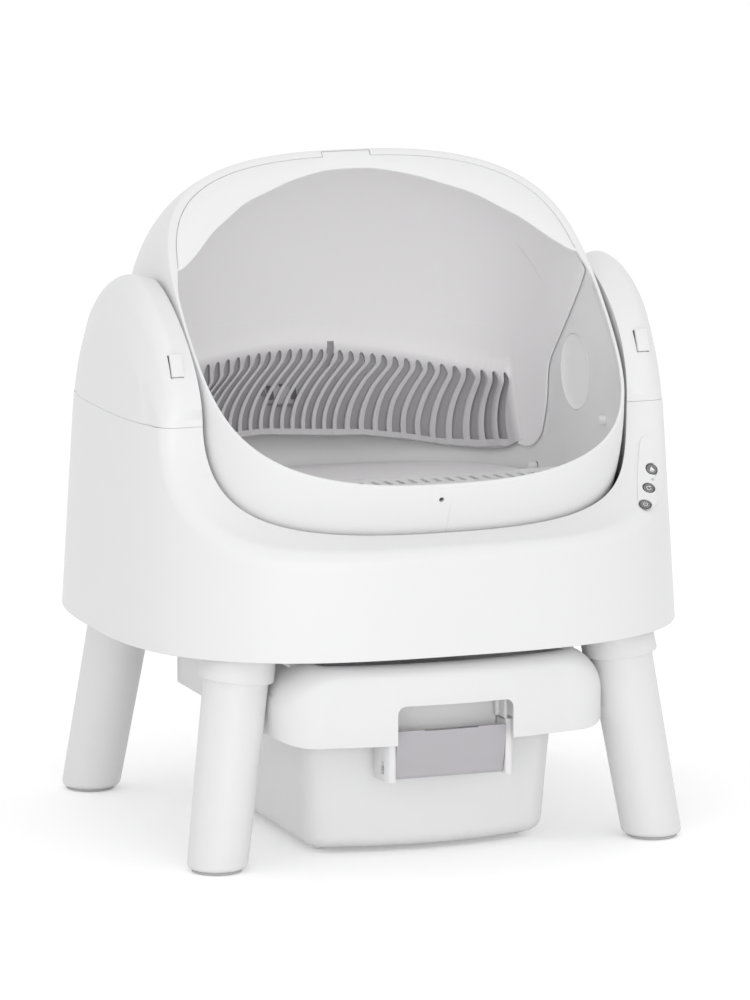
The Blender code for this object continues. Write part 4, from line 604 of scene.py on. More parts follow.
def moulded_finish(name, colour, roughness, drift=0.012, rubbed=0.08, grain=900.0,
                   bump=0.12, coat=0.0):
    """Injection-moulded plastic in one colour."""
    made, tree, look, shader = group_finish(name, MOULDED, bump, 0.0003, {
        "Colour": (*colour, 1.0), "Tone Drift": drift, "Roughness": roughness,
        "Rubbed": rubbed, "Grain Scale": grain})
    wire(tree, look, "Colour", shader, "Base Color")
    shader.inputs["IOR"].default_value = 1.49
    shader.inputs["Specular IOR Level"].default_value = 0.42
    if coat > 0:
        shader.inputs["Coat Weight"].default_value = coat
        shader.inputs["Coat Roughness"].default_value = 0.18
    return made


def metal_finish(name, colour, roughness, stretch, contrast):
    made, _, _, shader = group_finish(name, BRUSHED, 0.15, 0.0002, {
        "Stretch": stretch, "Roughness": roughness, "Contrast": contrast})
    shader.inputs["Base Color"].default_value = (*colour, 1.0)
    shader.inputs["Metallic"].default_value = 1.0
    return made


SHELL_WHITE = moulded_finish("shell_white", (0.845, 0.845, 0.85), 0.40, coat=0.12)
LEG_WHITE = moulded_finish("leg_white", (0.82, 0.818, 0.82), 0.46, grain=700.0, bump=0.16)
VISOR_WHITE = moulded_finish("visor_white", (0.87, 0.87, 0.875), 0.34, coat=0.15)
# The second tone is painted shade: the liner's plastic darkened on the sieve's ribs among the slots.
LINER_TONE, RIB_PAINTED_SHADE = (0.930, 0.921, 0.927), (0.60, 0.592, 0.60)
LINER_GREY = moulded_finish("liner_grey", LINER_TONE, 0.52, grain=650.0, bump=0.18)
# A lighter copy of the shell's white, painted light for white parts in shade: the bearing cups
# inside the drum and the wall and plate behind the hood's window.
WHITE_PAINTED_LIGHT = moulded_finish("white_with_painted_light", (0.936, 0.934, 0.936), 0.5, grain=650.0, bump=0.18)
CATCH_GREY = moulded_finish("catch_grey", (0.46, 0.455, 0.465), 0.5, grain=700.0, bump=0.15)
# A dark grey that stands in for the shade in the hollow behind the sieve's slots: painted shade.
RECESS_PAINTED_SHADE = moulded_finish("recess_grey_painted_shade", (0.40, 0.393, 0.408), 0.6, grain=500.0, bump=0.2)
PADDLE_SATIN = moulded_finish("paddle_satin", (0.49, 0.475, 0.50), 0.42, grain=1100.0, bump=0.2)
PART_DARK = moulded_finish("part_dark", (0.05, 0.05, 0.053), 0.55, drift=0.08, bump=0.2)
PAD_RUBBER = moulded_finish("pad_rubber", (0.52, 0.52, 0.525), 0.82, drift=0.05, rubbed=0.1,
                            grain=420.0, bump=0.5)
BUTTON_GREY = moulded_finish("button_grey", (0.20, 0.20, 0.205), 0.42, drift=0.04)
BUTTON_RING = moulded_finish("button_ring", (0.34, 0.34, 0.345), 0.30, drift=0.04)
BUTTON_EDGE = moulded_finish("button_edge", (0.095, 0.095, 0.10), 0.45, drift=0.04)
ICON_WHITE = moulded_finish("icon_white", (0.86, 0.86, 0.86), 0.5)
BOARD_GREEN = moulded_finish("board_green", (0.03, 0.16, 0.07), 0.45, drift=0.2, grain=260.0)
LENS_CLEAR = moulded_finish("lens_clear", (0.62, 0.66, 0.70), 0.16, coat=0.5)
ZINC = metal_finish("zinc_steel", (0.58, 0.58, 0.585), 0.36, (40.0, 900.0, 900.0), 0.16)
MOTOR_STEEL = metal_finish("motor_steel", (0.50, 0.50, 0.51), 0.30, (60.0, 500.0, 500.0), 0.12)

# Tub
FRONT_STATIONS, DECK_STATIONS, BACK_STATIONS = 56, 18, 36
WALL_ROWS, ARC_ROWS, TOP_ROWS, FLANGE_ROWS = 12, 8, 6, 6
SEAM_EDGE = 0.0008        # rounding of the two edges that meet at the seam
HEM = 0.0012              # rounding of the tub's bottom edge


def edge_curve(find_x, back):
    found = []
    for step in range(FINE * 2 + 1):
        share = step / (FINE * 2)
        y, z = cut_point(share, back)
        x = find_x(y, z)
        if x > 0:
            found.append((x, y, z, share))
    found.insert(0, (0.0, *found[0][1:]))
    return found


def barrel_x(y, z, grow):
    radius = off_axis(y, z)
    return barrel_reach(radius, grow) if radius < DRUM_RADIUS + grow else 0.0


def paired(back, count, inset, grow):
    outer = edge_curve(lambda y, z: tub_x(y, z, inset), back)
    inner = edge_curve(lambda y, z: barrel_x(y, z, grow), back)
    return list(zip(resample(outer, count), resample(inner, count)))


def barrel_ring_point(angle, z, grow):
    """Level section of the barrel, by direction from the drum's axis."""
    def inside(reach):
        end = abs(reach * math.sin(angle)) / (DRUM_HALF_WIDTH + grow)
        side = math.hypot(reach * math.cos(angle), z - AXIS_Z) / (DRUM_RADIUS + grow)
        return end < 1 and side < 1 and end ** BARREL_END + side ** BARREL_ROUND < 1

    reach = bisect(0.0, DRUM_RADIUS + DRUM_HALF_WIDTH, inside)
    return Vector((reach * math.sin(angle), AXIS_Y - reach * math.cos(angle), z))


def half_ring(find_point):
    return resample([find_point(math.pi * k / FINE) for k in range(FINE + 1)], FINE, BEND)


def face_point(outer, inner, share, back, lift):
    """A point of the cut's face between its outer edge (0) and its inner one (1)."""
    place = lerp(outer[3], inner[3], share)
    return (Vector((lerp(outer[0], inner[0], share), *cut_point(place, back)))
            + cut_inward(place, back) * lift)


def running(points):
    run = [0.0]
    for a, b in zip(points, points[1:]):
        run.append(run[-1] + (Vector(b[:3]) - Vector(a[:3])).length)
    return [value / run[-1] for value in run]


def pick(ring, share):
    place = share * (len(ring) - 1)
    k = min(int(place), len(ring) - 2)
    return ring[k].lerp(ring[k + 1], place - k)


def tub_stations(inset, fillet, lift):
    """Columns from the bottom edge up the wall, over the face and down the flange."""
    grow = DRUM_CLEARANCE + inset
    columns = [(*pair, False) for pair in paired(False, FRONT_STATIONS, inset, grow)]
    deck_from = FRONT_CUT[0] + FRONT_CUT[1] + EDGE_FILLET * 1.5
    deck_to = BACK_CUT[0] - BACK_CUT[1] - EDGE_FILLET * 1.5
    for k in range(DECK_STATIONS + 1):
        y = lerp(deck_from, deck_to, k / DECK_STATIONS)
        columns.append(((tub_x(y, SEAM_TOP, inset), y, SEAM_TOP),
                        (barrel_reach(off_axis(y, SEAM_TOP), grow), y, SEAM_TOP), None))
    columns += [(*pair, True) for pair in reversed(paired(True, BACK_STATIONS, inset, grow))]
    outer_run = running([c[0] for c in columns])
    inner_run = running([c[1] for c in columns])
    bottoms = half_ring(lambda a: on_tub((math.sin(a), -math.cos(a), TUB_BOTTOM), inset))
    feet = half_ring(lambda a: barrel_ring_point(a, FLANGE_FOOT, grow))
    loops = []
    for k, (outer, inner, side) in enumerate(columns):
        edge, lip = Vector(outer[:3]), Vector(inner[:3])
        if side is None:
            edge, lip = edge + above(-lift), lip + above(-lift)
            first = edge - Vector((SEAM_EDGE, 0, 0))
            second = on_tub(edge - above(SEAM_EDGE), inset)
            top = [lip + (first - lip) * (j / TOP_ROWS) for j in range(TOP_ROWS)]
        else:
            into = cut_inward(outer[3], side)
            edge = on_tub(edge + into * lift, inset)
            second = on_tub(edge + into * fillet, inset)
            width = (edge - lip).length
            share = min(fillet, width * 0.45) / max(width, fillet)
            first = face_point(outer, inner, share, side, lift)
            top = [face_point(outer, inner, lerp(1.0, share, j / TOP_ROWS), side, lift)
                   for j in range(TOP_ROWS)]
            top[0] = lip = on_barrel(top[0], grow)
        arc = corner_arc(edge, first, second, ARC_ROWS)
        bottom = pick(bottoms, outer_run[k])
        foot = pick(feet, inner_run[k])
        wall = [bottom + (bottom - above(bottom.z)).normalized() * -HEM]
        wall.append(on_tub(bottom + above(HEM * 0.3), inset + HEM * 0.3))
        wall += [on_tub(bottom.lerp(arc[-1], max(j / WALL_ROWS, HEM * 5)), inset)
                 for j in range(WALL_ROWS)]
        flange = [on_barrel(lip.lerp(foot, j / FLANGE_ROWS), grow)
                  for j in range(1, FLANGE_ROWS)] + [foot]
        loops.append(wall + arc[::-1] + top[::-1] + flange)
    return loops


def full_turn(half):
    return half + [mirrored(loop) for loop in reversed(half[1:-1])]


def tub_mesh():
    outside = full_turn(tub_stations(0.0, EDGE_FILLET, 0.0))
    inside = full_turn(tub_stations(SKIN, EDGE_FILLET - SKIN, SKIN))
    loops = [face + back[::-1] for face, back in zip(outside, inside)]
    for loop in loops:
        if abs(loop[0].x) < WELD:
            for point in loop:
                point.x = 0.0
    return loft(loops, wrap=True)


# Ear covers
EAR_STATIONS, EAR_WALL_ROWS, EAR_ARC_ROWS, EAR_INNER_ROWS = 72, 14, 12, 10
EAR_CORNER = 0.012
EAR_HALF_DEPTH, EAR_RISE, EAR_INNER_RISE = 0.130, 0.133, 0.120
EAR_INNER_POWER = 1.6
DOME_WIDTH, DOME_DROP = 0.028, 0.070
BOSS_CENTRE = (-0.008, 0.405)      # a low round pad on the ear's outside
BOSS_RADIUS = 0.100
BOSS_RISE = 0.0012
BOSS_EDGE = 0.007
BOSS_FADE = (0.004, 0.034)         # the wall is level again between these distances beside it
STUB_SLOT, STUB_SLOT_HALF = (0.2138, 0.2219), 0.009


def boss(point):
    """Sink the wall round the pad, so that nothing stands outside the part."""
    gone = math.hypot(point.y - BOSS_CENTRE[0], point.z - BOSS_CENTRE[1])
    sunk = BOSS_RISE * smooth(gone, BOSS_RADIUS - BOSS_EDGE, BOSS_RADIUS)
    fade = 1 - smooth(gone, BOSS_RADIUS + BOSS_FADE[0], BOSS_RADIUS + BOSS_FADE[1])
    return Vector((point.x - sunk * fade, point.y, point.z))


def ear_grid(sign, inset):
    """Rows from front to back; each row climbs the outside and goes down the inside."""
    grow = DRUM_CLEARANCE + inset
    depth, rise = EAR_HALF_DEPTH - inset, EAR_RISE - inset
    inner_rise = EAR_INNER_RISE - inset
    grid = []
    for k in range(EAR_STATIONS + 1):
        turn = math.pi * k / EAR_STATIONS
        across, up = math.cos(turn), math.sin(turn)
        blend = lerp(1.0, 2 / EAR_INNER_POWER, up)
        crest = Vector((0, AXIS_Y - depth * across, SEAM_FOOT + rise * up))
        crest.x = tub_x(crest.y, crest.z, inset)
        lip = Vector((0, AXIS_Y - depth * math.copysign(abs(across) ** blend, across),
                      SEAM_FOOT + inner_rise * up ** blend))
        lip.x = barrel_reach(off_axis(lip.y, lip.z), grow)
        width = lerp(EAR_CORNER, DOME_WIDTH, up) - inset
        drop = lerp(EAR_CORNER, DOME_DROP, up) - inset
        centre = Vector((crest.x, AXIS_Y, SEAM_FOOT))
        second = on_tub(crest + (centre - crest).normalized() * drop, inset)
        foot_y = AXIS_Y - (depth - EAR_CORNER + inset) * across
        foot = Vector((tub_x(foot_y, SEAM_FOOT, inset), foot_y, SEAM_FOOT))
        start = crest.lerp(lip, width / (crest - lip).length)
        arc = corner_arc(crest, start, second, EAR_ARC_ROWS)
        wall = [on_tub(foot.lerp(second, j / EAR_WALL_ROWS), inset)
                for j in range(EAR_WALL_ROWS)]
        inner_foot = Vector((0, AXIS_Y - depth * across, SEAM_FOOT))
        inner_foot.x = barrel_reach(off_axis(inner_foot.y, SEAM_FOOT), grow)
        inside = [on_barrel(lip.lerp(inner_foot, j / EAR_INNER_ROWS), grow)
                  for j in range(EAR_INNER_ROWS)] + [inner_foot]
        row = wall + arc[::-1] + inside
        crest_row = EAR_WALL_ROWS + EAR_ARC_ROWS // 2
        row = [boss(p) for p in row[:crest_row]] + row[crest_row:]
        grid.append([Vector((sign * p.x, p.y, p.z)) for p in row])
    return grid


TAB_INSIDE, TAB_WIDTH = 0.2265, 0.0115
TAB_MIDDLE_Z, TAB_HALF_HEIGHT = 0.4647, 0.0108
TAB_THICKNESS, TAB_PROUD = 0.0040, 0.0006
TAB_SLIT = 0.0005
TAB_TURN = math.asin((TAB_MIDDLE_Z - SEAM_FOOT) / EAR_RISE)
TAB_PLACE = Vector((0, AXIS_Y - EAR_HALF_DEPTH * math.cos(TAB_TURN), TAB_MIDDLE_Z))
TAB_OUT = Vector((0, -math.cos(TAB_TURN) / EAR_HALF_DEPTH,
                  math.sin(TAB_TURN) / EAR_RISE)).normalized()
TAB_FRAME = Matrix.Translation(TAB_PLACE) @ Matrix((
    (1, 0, 0, 0), (0, TAB_OUT.z, TAB_OUT.y, 0), (0, -TAB_OUT.y, TAB_OUT.z, 0), (0, 0, 0, 1)))


def tab_block(sign, margin, low, high, bevel=0.0):
    first, last = span(sign, TAB_INSIDE - margin, TAB_INSIDE + TAB_WIDTH + margin)
    return block((first, -TAB_HALF_HEIGHT - margin, low),
                 (last, TAB_HALF_HEIGHT + margin, high), bevel, 2, TAB_FRAME)


def make_ears():
    for label, sign in SIDES:
        cover = mesh_object("ear_cover_" + label, panel(ear_grid(sign, 0.0),
                                                        ear_grid(sign, SKIN)))
        round_edges(cover, SEAM_EDGE * 0.6, 1, 60.0)
        first, last = span(sign, *STUB_SLOT)
        carve(cover, tab_block(sign, TAB_SLIT, -TAB_THICKNESS * 3, TAB_THICKNESS * 2),
              block((first, AXIS_Y - STUB_SLOT_HALF, SEAM_FOOT - SKIN),
                    (last, AXIS_Y + STUB_SLOT_HALF, AXIS_Z + STUB_SLOT_HALF)))
        dress(cover, SHELL_WHITE, "stand", "white_shell", "ear_cap_" + label)
        piece("ear_release_" + label, tab_block(sign, 0.0, -TAB_THICKNESS, TAB_PROUD, 0.0005),
              SHELL_WHITE, "tab_" + label, "white_shell", "ear_tab_" + label)


# Controls on the cut's face
BUTTON_RADIUS, BUTTON_RISE, BUTTON_DEPTH, BUTTON_POCKET = 0.006, 0.0015, 0.0008, 0.0021
BUTTON_SLIT = 0.0004
BUTTON_PLACES = (("top", 0.2279, 0.3456), ("middle", 0.2190, 0.3300), ("low", 0.2090, 0.3178))
LED_X, LED_Z, LED_RADIUS = 0.2257, 0.3366, 0.0012
PANEL_LIFT = 0.0009
PANEL_THICKNESS = 0.0008
PANEL_ENDS = (0.335, 0.80)         # shares along the front cut
PANEL_LEFT, PANEL_RIGHT = (0.2005, 0.2235), (0.2215, 0.2365)
PANEL_SINK = 0.0012


def share_at_height(height):
    return bisect(0.0, 1.0, lambda share: cut_point(share)[1] < height)


def on_cut(x, share, lift):
    return Vector((x, *cut_point(share))) - cut_inward(share) * lift


def cut_frame(x, height):
    share = share_at_height(height)
    return along(on_cut(x, share, 0.0), -cut_inward(share))


def panel_outline_share(part):
    """Half width of the control strip at a share of its length, rounded at both ends."""
    top, low, roundness, least = 0.075, 0.115, 0.55, 0.0004
    if part > 1 - top:
        return math.sqrt(max(1 - ((part - 1 + top) / top) ** 2, least))
    if part < low:
        curve = math.sqrt(max(1 - ((low - part) / low) ** 2, least))
        return lerp(part / low, curve, roundness)
    return 1.0


def control_strip(lift):
    rows, columns = 64, 12
    grid = []
    for k in range(rows + 1):
        part = k / rows
        left, right = lerp(*PANEL_LEFT, part), lerp(*PANEL_RIGHT, part)
        half = (right - left) / 2 * panel_outline_share(part)
        grid.append([on_cut((left + right) / 2 + half * (2 * j / columns - 1),
                            lerp(*PANEL_ENDS, part), lift) for j in range(columns + 1)])
    return grid


def button_holes(low, high, sides):
    return [plug(BUTTON_RADIUS + BUTTON_SLIT, low, high, sides, cut_frame(x, z))
            for _, x, z in BUTTON_PLACES]


def arc_stroke(centre, radius, start, end, width, count=28):
    """Outline of a thin curved stroke drawn in X and Y."""
    outline = []
    for edge, first, last in ((radius + width / 2, start, end), (radius - width / 2, end, start)):
        for k in range(count + 1):
            turn = math.radians(lerp(first, last, k / count))
            outline.append((centre[0] + edge * math.cos(turn), centre[1] + edge * math.sin(turn)))
    return outline


def bar_stroke(x0, y0, x1, y1, width):
    run = Vector((x1 - x0, y1 - y0)).normalized() * width / 2
    return [(x0 - run.y, y0 + run.x), (x0 + run.y, y0 - run.x), (x1 + run.y, y1 - run.x),
            (x1 - run.y, y1 + run.x)]


STROKE = 0.0006
SIGNS = {
    "low": [arc_stroke((0, 0), 0.0021, 125, 415, STROKE), bar_stroke(0, 0.0006, 0, 0.0027, STROKE)],
    "middle": [arc_stroke((0, 0), 0.0021, 60, 350, STROKE),
               [(0.0009, 0.0009), (0.0030, 0.0012), (0.0014, 0.0029)]],
    "top": [[(0.0, 0.0028), (-0.0026, -0.0017), (0.0026, -0.0017)],
            bar_stroke(-0.0020, -0.0025, 0.0020, -0.0025, STROKE)],
}
BUTTON_FOOT = -BUTTON_RISE - BUTTON_DEPTH
BUTTON_SHAPES = (                  # sides, finish, and radius and height from the button's top
    ("edge", 64, BUTTON_EDGE, ((0, BUTTON_FOOT), (0.0044, BUTTON_FOOT), (0.0060, -0.0008),
                               (0.0056, -0.0003), (0.0050, -0.0003), (0.0048, -0.0009),
                               (0, -0.0009))),
    ("ring", 48, BUTTON_RING, ((0.0039, -0.0010), (0.0047, -0.0010), (0.0047, -0.0003),
                               (0.0044, 0), (0.0042, 0), (0.0039, -0.0003))),
    ("face", 48, BUTTON_GREY, ((0, -0.0010), (0.00385, -0.0010), (0.00385, -0.0005),
                               (0.0034, -0.0003), (0.002, -0.00022), (0, -0.0002))),
)


def make_controls():
    cuts = button_holes(-0.007, 0.005, 48)
    cuts.append(plug(LED_RADIUS + GAP, -0.007, 0.005, 24, cut_frame(LED_X, LED_Z)))
    piece("control_strip", panel(control_strip(PANEL_LIFT + PANEL_THICKNESS),
                                 control_strip(-PANEL_SINK)),
          SHELL_WHITE, "stand", "white_shell", "control_panel", cuts=cuts)
    for k, (label, x, z) in enumerate(BUTTON_PLACES, 1):
        place, body = cut_frame(x, z), "button_" + label
        for shape, sides, finish, profile in BUTTON_SHAPES:
            nodes = ["control_button_%d" % k] if shape == "edge" else []
            profile = [(radius, BUTTON_RISE + height) for radius, height in profile]
            piece("button_%s_%d" % (shape, k), turned(profile, sides, place), finish, body,
                  "dark_grey", *nodes)
        for j, outline in enumerate(SIGNS[label]):
            piece("button_sign_%d_%d" % (k, j),
                  slab(outline, [], BUTTON_RISE - 0.0004, BUTTON_RISE - 0.00008, place),
                  ICON_WHITE, body, "white_shell")
    lens = [(0, -0.002), (LED_RADIUS, -0.002), (LED_RADIUS, 0.0014),
            (LED_RADIUS - 0.0003, 0.0018), (0, 0.0019)]
    piece("status_lens", turned(lens, 24, cut_frame(LED_X, LED_Z)), LENS_CLEAR,
          "stand", "lens", "led_lens")


INLET_X, INLET_Z, INLET_BORE, INLET_DEPTH = 0.090, 0.232, 0.0079, 0.018
GEAR_SLOT, GEAR_SLOT_HALF = (0.2215, 0.2312), 0.0512      # the drum's gear turns in it


def inlet_frame():
    place = on_tub((INLET_X, TUB_HALF_DEPTH, INLET_Z))
    ahead = on_tub((INLET_X * 1.02, TUB_HALF_DEPTH, INLET_Z))
    run = (ahead - place).normalized()
    out = Vector((-run.y, run.x, 0))
    return along(place, out if out.y > 0 else -out)


def make_tub():
    cuts = button_holes(-BUTTON_POCKET, 0.006, 32)
    cuts.append(plug(INLET_BORE, -INLET_DEPTH, 0.006, 40, inlet_frame()))
    cuts.append(block((GEAR_SLOT[0], AXIS_Y - GEAR_SLOT_HALF, SEAM - 0.008),
                      (GEAR_SLOT[1], AXIS_Y + GEAR_SLOT_HALF, SEAM + 0.004)))
    piece("tub", tub_mesh(), SHELL_WHITE, "stand", "white_shell", "base_shell", angle=40.0,
          cuts=cuts)
    rim = [(0.0033, -0.0126), (0.0075, -0.014), (0.0075, -0.0019), (0.0072, -0.0015),
           (0.0037, -0.0015), (0.0033, -0.0019)]
    piece("inlet_barrel", turned(rim, 40, inlet_frame()), PART_DARK, "stand", "dark_grey",
          "power_inlet")
    pin = [(0, -0.0135), (0.0009, -0.0135), (0.0009, -0.0042), (0.0005, -0.0036), (0, -0.0035)]
    piece("inlet_pin", turned(pin, 16, inlet_frame()), ZINC, "stand", "steel")


make_tub()
make_ears()
make_controls()

# Drum
DRUM_POINTS, DRUM_LEVELS = 160, 40
DRUM_FIRST = math.asin((MOUTH_OFFSET - 0.004) / DRUM_RADIUS)       # angles of the levels
DRUM_LAST = -math.pi / 2 * 0.96
RIM_ROUND = 0.0008
EDGE_SHARES = ((0.0, 1.0), (0.3, 0.3), (1.0, 0.0))     # a rounding in three rings: down and in
CUP_RADIUS, CUP_DISH, CUP_WALL, CUP_BOWL = 0.037, 0.0028, 0.0024, 4.5
STUB_RADIUS, STUB_END = 0.008, 0.244
FRONT_SCREW = Vector((-0.0068, -0.222, 0.3407))
PEG_RADIUS, PEG_LENGTH, PEG_SEAT = 0.0046, 0.0064, 0.0018
PEG_PLACES = (("front", -0.0882, 0.3831), ("back", 0.0750, 0.3126))


def level_points(level, grow, edge=0.0):
    outline = section_outline(level, grow, DRUM_POINTS)
    if edge:
        outline = [inward(outline, k, edge) for k in range(len(outline))]
    return [in_mouth(p.x, p.y, level) for p in outline]


def lip_edge(outline, extra):
    """Inside edge of the drum's lip, which is wider round the mouth's upper half."""
    return [inward(outline, k, lerp(DRUM_WALL, RIM_WIDTH, smooth(p.y, *RIM_CHANGE)) + extra)
            for k, p in enumerate(outline)]


def rim_points(level, extra):
    outline = section_outline(MOUTH_OFFSET, 0.0, DRUM_POINTS)
    return [in_mouth(p.x, p.y, level) for p in lip_edge(outline, extra)]


def drum_mesh():
    outer = [level_points(MOUTH_OFFSET - RIM_ROUND * down, 0.0, RIM_ROUND * side)
             for down, side in EDGE_SHARES]
    inner = [rim_points(MOUTH_OFFSET - RIM_ROUND * down, -RIM_ROUND * side)
             for down, side in EDGE_SHARES]
    inner += [rim_points(MOUTH_OFFSET - DRUM_WALL, 0.0),
              level_points(MOUTH_OFFSET - DRUM_WALL * 1.2, -DRUM_WALL)]
    for k in range(1, DRUM_LEVELS + 1):
        level = DRUM_RADIUS * math.sin(lerp(DRUM_FIRST, DRUM_LAST, k / DRUM_LEVELS))
        outer.append(level_points(level, 0.0))
        inner.append(level_points(level * (1 - DRUM_WALL / DRUM_RADIUS), -DRUM_WALL))
    return loft(outer[::-1] + inner)


VISOR_THICKNESS, VISOR_SLIT = 0.0024, 0.0007
CLIP_HALF, CLIP_FOOT, CLIP_REACH = 0.024, 0.185, 0.1985
GROOVE_STEPS, GROOVE_START, GROOVE_STEP = 14, 0.018, 0.016       # the line up from the screw
GROOVE_SPAN, GROOVE_MIDDLE, GROOVE_DEPTH = (0.0022, 0.0027), 0.0025, 0.0004


def cup_profile():
    inner_face = DRUM_HALF_WIDTH - DRUM_WALL
    floor = inner_face + CUP_DISH
    back = floor + CUP_WALL
    dish = [(CUP_RADIUS * k / 20, lerp(floor, inner_face, (k / 20) ** CUP_BOWL))
            for k in range(20)]
    return dish + [(CUP_RADIUS - GAP * 2, inner_face - 0.0002),
                   (CUP_RADIUS - GAP, inner_face + 0.0004),
                   (CUP_RADIUS - GAP, DRUM_HALF_WIDTH), (CUP_RADIUS * 0.85, back),
                   (STUB_RADIUS + 0.001, back), (STUB_RADIUS, back + 0.001),
                   (STUB_RADIUS, STUB_END - 0.0006), (STUB_RADIUS - 0.0006, STUB_END),
                   (0, STUB_END)]


def groove_mesh():
    """The fine line that runs up the drum's front from the screw."""
    start = math.atan2(FRONT_SCREW.z - AXIS_Z, FRONT_SCREW.y - AXIS_Y) + GROOVE_START
    turns = [start + k * GROOVE_STEP for k in range(GROOVE_STEPS)]
    outer = barrel_radius(GROOVE_MIDDLE)
    outline = [(math.cos(turn) * (outer + 0.002), math.sin(turn) * (outer + 0.002))
               for turn in turns]
    outline += [(math.cos(turn) * (outer - GROOVE_DEPTH), math.sin(turn) * (outer - GROOVE_DEPTH))
                for turn in reversed(turns)]
    return slab(outline, [], *GROOVE_SPAN, side_frame(AXIS))


def peg_wall(depth, height):
    """Where the drum's inside wall stands at a peg."""
    return barrel_reach(off_axis(depth, height) + PEG_RADIUS, -DRUM_WALL)


def make_drum():
    cuts = [plug(CUP_RADIUS, DRUM_HALF_WIDTH - 0.008, DRUM_HALF_WIDTH + 0.004, 64,
                 along(AXIS, (sign, 0, 0))) for _, sign in SIDES]
    out = (FRONT_SCREW - Vector((FRONT_SCREW.x, AXIS_Y, AXIS_Z))).normalized()
    place = along(on_barrel(FRONT_SCREW), out)
    cuts.append(turned([(0, -0.0023), (0.0025, -0.0023), (0.0026, -0.0004), (0.0044, -0.0003),
                        (0.0046, 0.004), (0, 0.004)], 32, place))
    half, reach = CLIP_HALF + VISOR_SLIT, CLIP_REACH + VISOR_SLIT
    cuts.append(slab([(-half, CLIP_FOOT), (half, CLIP_FOOT), (half, reach), (-half, reach)], [],
                     MOUTH_OFFSET - VISOR_THICKNESS, MOUTH_OFFSET + 0.002, MOUTH_FRAME))
    cuts.append(groove_mesh())
    for _, depth, height in PEG_PLACES:
        wall = peg_wall(depth, height)
        cuts.append(plug(PEG_RADIUS + GAP, wall - PEG_LENGTH, wall + PEG_LENGTH, 24,
                         sideways(depth, height)))
    piece("drum_wall", drum_mesh(), SHELL_WHITE, "drum", "white_shell", "drum_shell",
          angle=40.0, cuts=cuts)
    screw = [(0, -0.0023), (0.0020, -0.0023), (0.0020, -0.0018), (0.0016, -0.0014), (0, -0.0013)]
    piece("front_screw", turned(screw, 24, place), PART_DARK, "drum", "dark_grey")
    # The cups take the lighter white: painted light for the shade inside the drum.
    for label, sign in SIDES:
        piece("bearing_cup_" + label, turned(cup_profile(), 72, along(AXIS, (sign, 0, 0))),
              WHITE_PAINTED_LIGHT, "drum", "white_shell", "trunnion_" + label)
    for label, depth, height in PEG_PLACES:
        wall = peg_wall(depth, height)
        tip = wall - PEG_LENGTH
        shape = [(0, tip), (PEG_RADIUS - 0.0012, tip), (PEG_RADIUS - 0.0005, tip + 0.0003),
                 (PEG_RADIUS - 0.0001, tip + 0.0010), (PEG_RADIUS, wall + PEG_SEAT),
                 (0, wall + PEG_SEAT)]
        piece("wall_peg_" + label, turned(shape, 32, sideways(depth, height)), SHELL_WHITE,
              "drum", "white_shell", "peg_" + label)


# Liner: the grey sheet over the drum's back, with rounded lower corners
LINER_GAP, LINER_FRONT = 0.0012, 0.0061
LINER_TOP = MOUTH_OFFSET - DRUM_WALL * 2.6
LINER_LOW = -0.1419
LINER_EDGE = ((-0.1433, 0.0259), (-0.1405, 0.0182), (-0.1281, 0.0060), (-0.1075, 0.0040),
              (-0.0746, 0.0223), (-0.0551, 0.0400), (-0.0400, 0.0470), (0.1100, 0.0470))
LINER_ROWS, LINER_COLUMNS = 60, 60


def liner_edge(level):
    """Where the sheet starts along the mouth, smoothed between the measured corners."""
    heights, reaches = zip(*LINER_EDGE)
    near = [np.interp(level + step * 0.004, heights, reaches) for step in (-1.5, -0.5, 0.5, 1.5)]
    return float(sum(near) / 4)


def liner_grid(shrink):
    grid = []
    for j in range(LINER_ROWS + 1):
        part = j / LINER_ROWS
        level = lerp(LINER_TOP, LINER_LOW, part ** 0.8)
        width = barrel_reach(abs(level), -shrink)
        reach = liner_edge(level)
        line = []
        for k in range(FINE + 1):
            x = width * math.sin(math.pi / 2 * k / FINE)
            far = math.sqrt(max(barrel_radius(x, -shrink) ** 2 - level ** 2, 0.0))
            if far < reach or k == FINE:
                line.append((barrel_reach(math.hypot(reach, level), -shrink), reach))
                break
            line.append((x, far))
        half = [in_mouth(p.x, p.y, level) for p in resample(line, LINER_COLUMNS, 0.05)]
        grid.append(mirrored(reversed(half[1:])) + half)
    return grid


def make_liner():
    piece("back_sheet", panel(liner_grid(DRUM_WALL + LINER_GAP), liner_grid(LINER_FRONT)),
          LINER_GREY, "drum", "inner_grey", "back_liner", angle=40.0)


# Sieve: one sheet that bulges off the wall below a crease, cut by pointed slots
RIB_COUNT, RIB_PITCH, RIB_WIDTH = 33, 0.0109, 0.0039
CORNER_RIBS = ((0.1814, 0.1845), (0.1893, 0.1914), (0.1957, 0.1990))
RIB_START = math.radians(69.5)
RIB_TIP, RIB_HEAD = math.radians(90.6), math.radians(92.0)
TIP_FALL, TIP_REACH = math.radians(2.7), 0.093
CREASE, CREASE_FALL, CREASE_REACH = math.radians(88.6), math.radians(9.6), 0.085
BULGE = 0.016
SLANT = math.radians(2.6)         # how much lower a slot's outer top corner sits
FOOT_LINE = ((0.0, 67.9), (0.1, 66.0), (0.13, 64.2), (0.15, 62.4), (0.165, 60.6), (0.1744, 59.0),
             (0.185, 56.6), (0.19, 55.2), (0.194, 54.0), (0.197, 53.4), (0.199, 53.0))
LEAN_START, LEAN_RUN = math.radians(88.6), math.radians(19.5)
LEAN_FALL, LEAN_REACH, LEAN_EASE = math.radians(11), (0.13, 0.20), 0.06
LEAN = ((-0.165, 0.0), (-0.13, 0.020), (-0.08, 0.043), (0.08, 0.045), (0.17, 0.016),
        (0.195, 0.006), (0.199, 0.0))
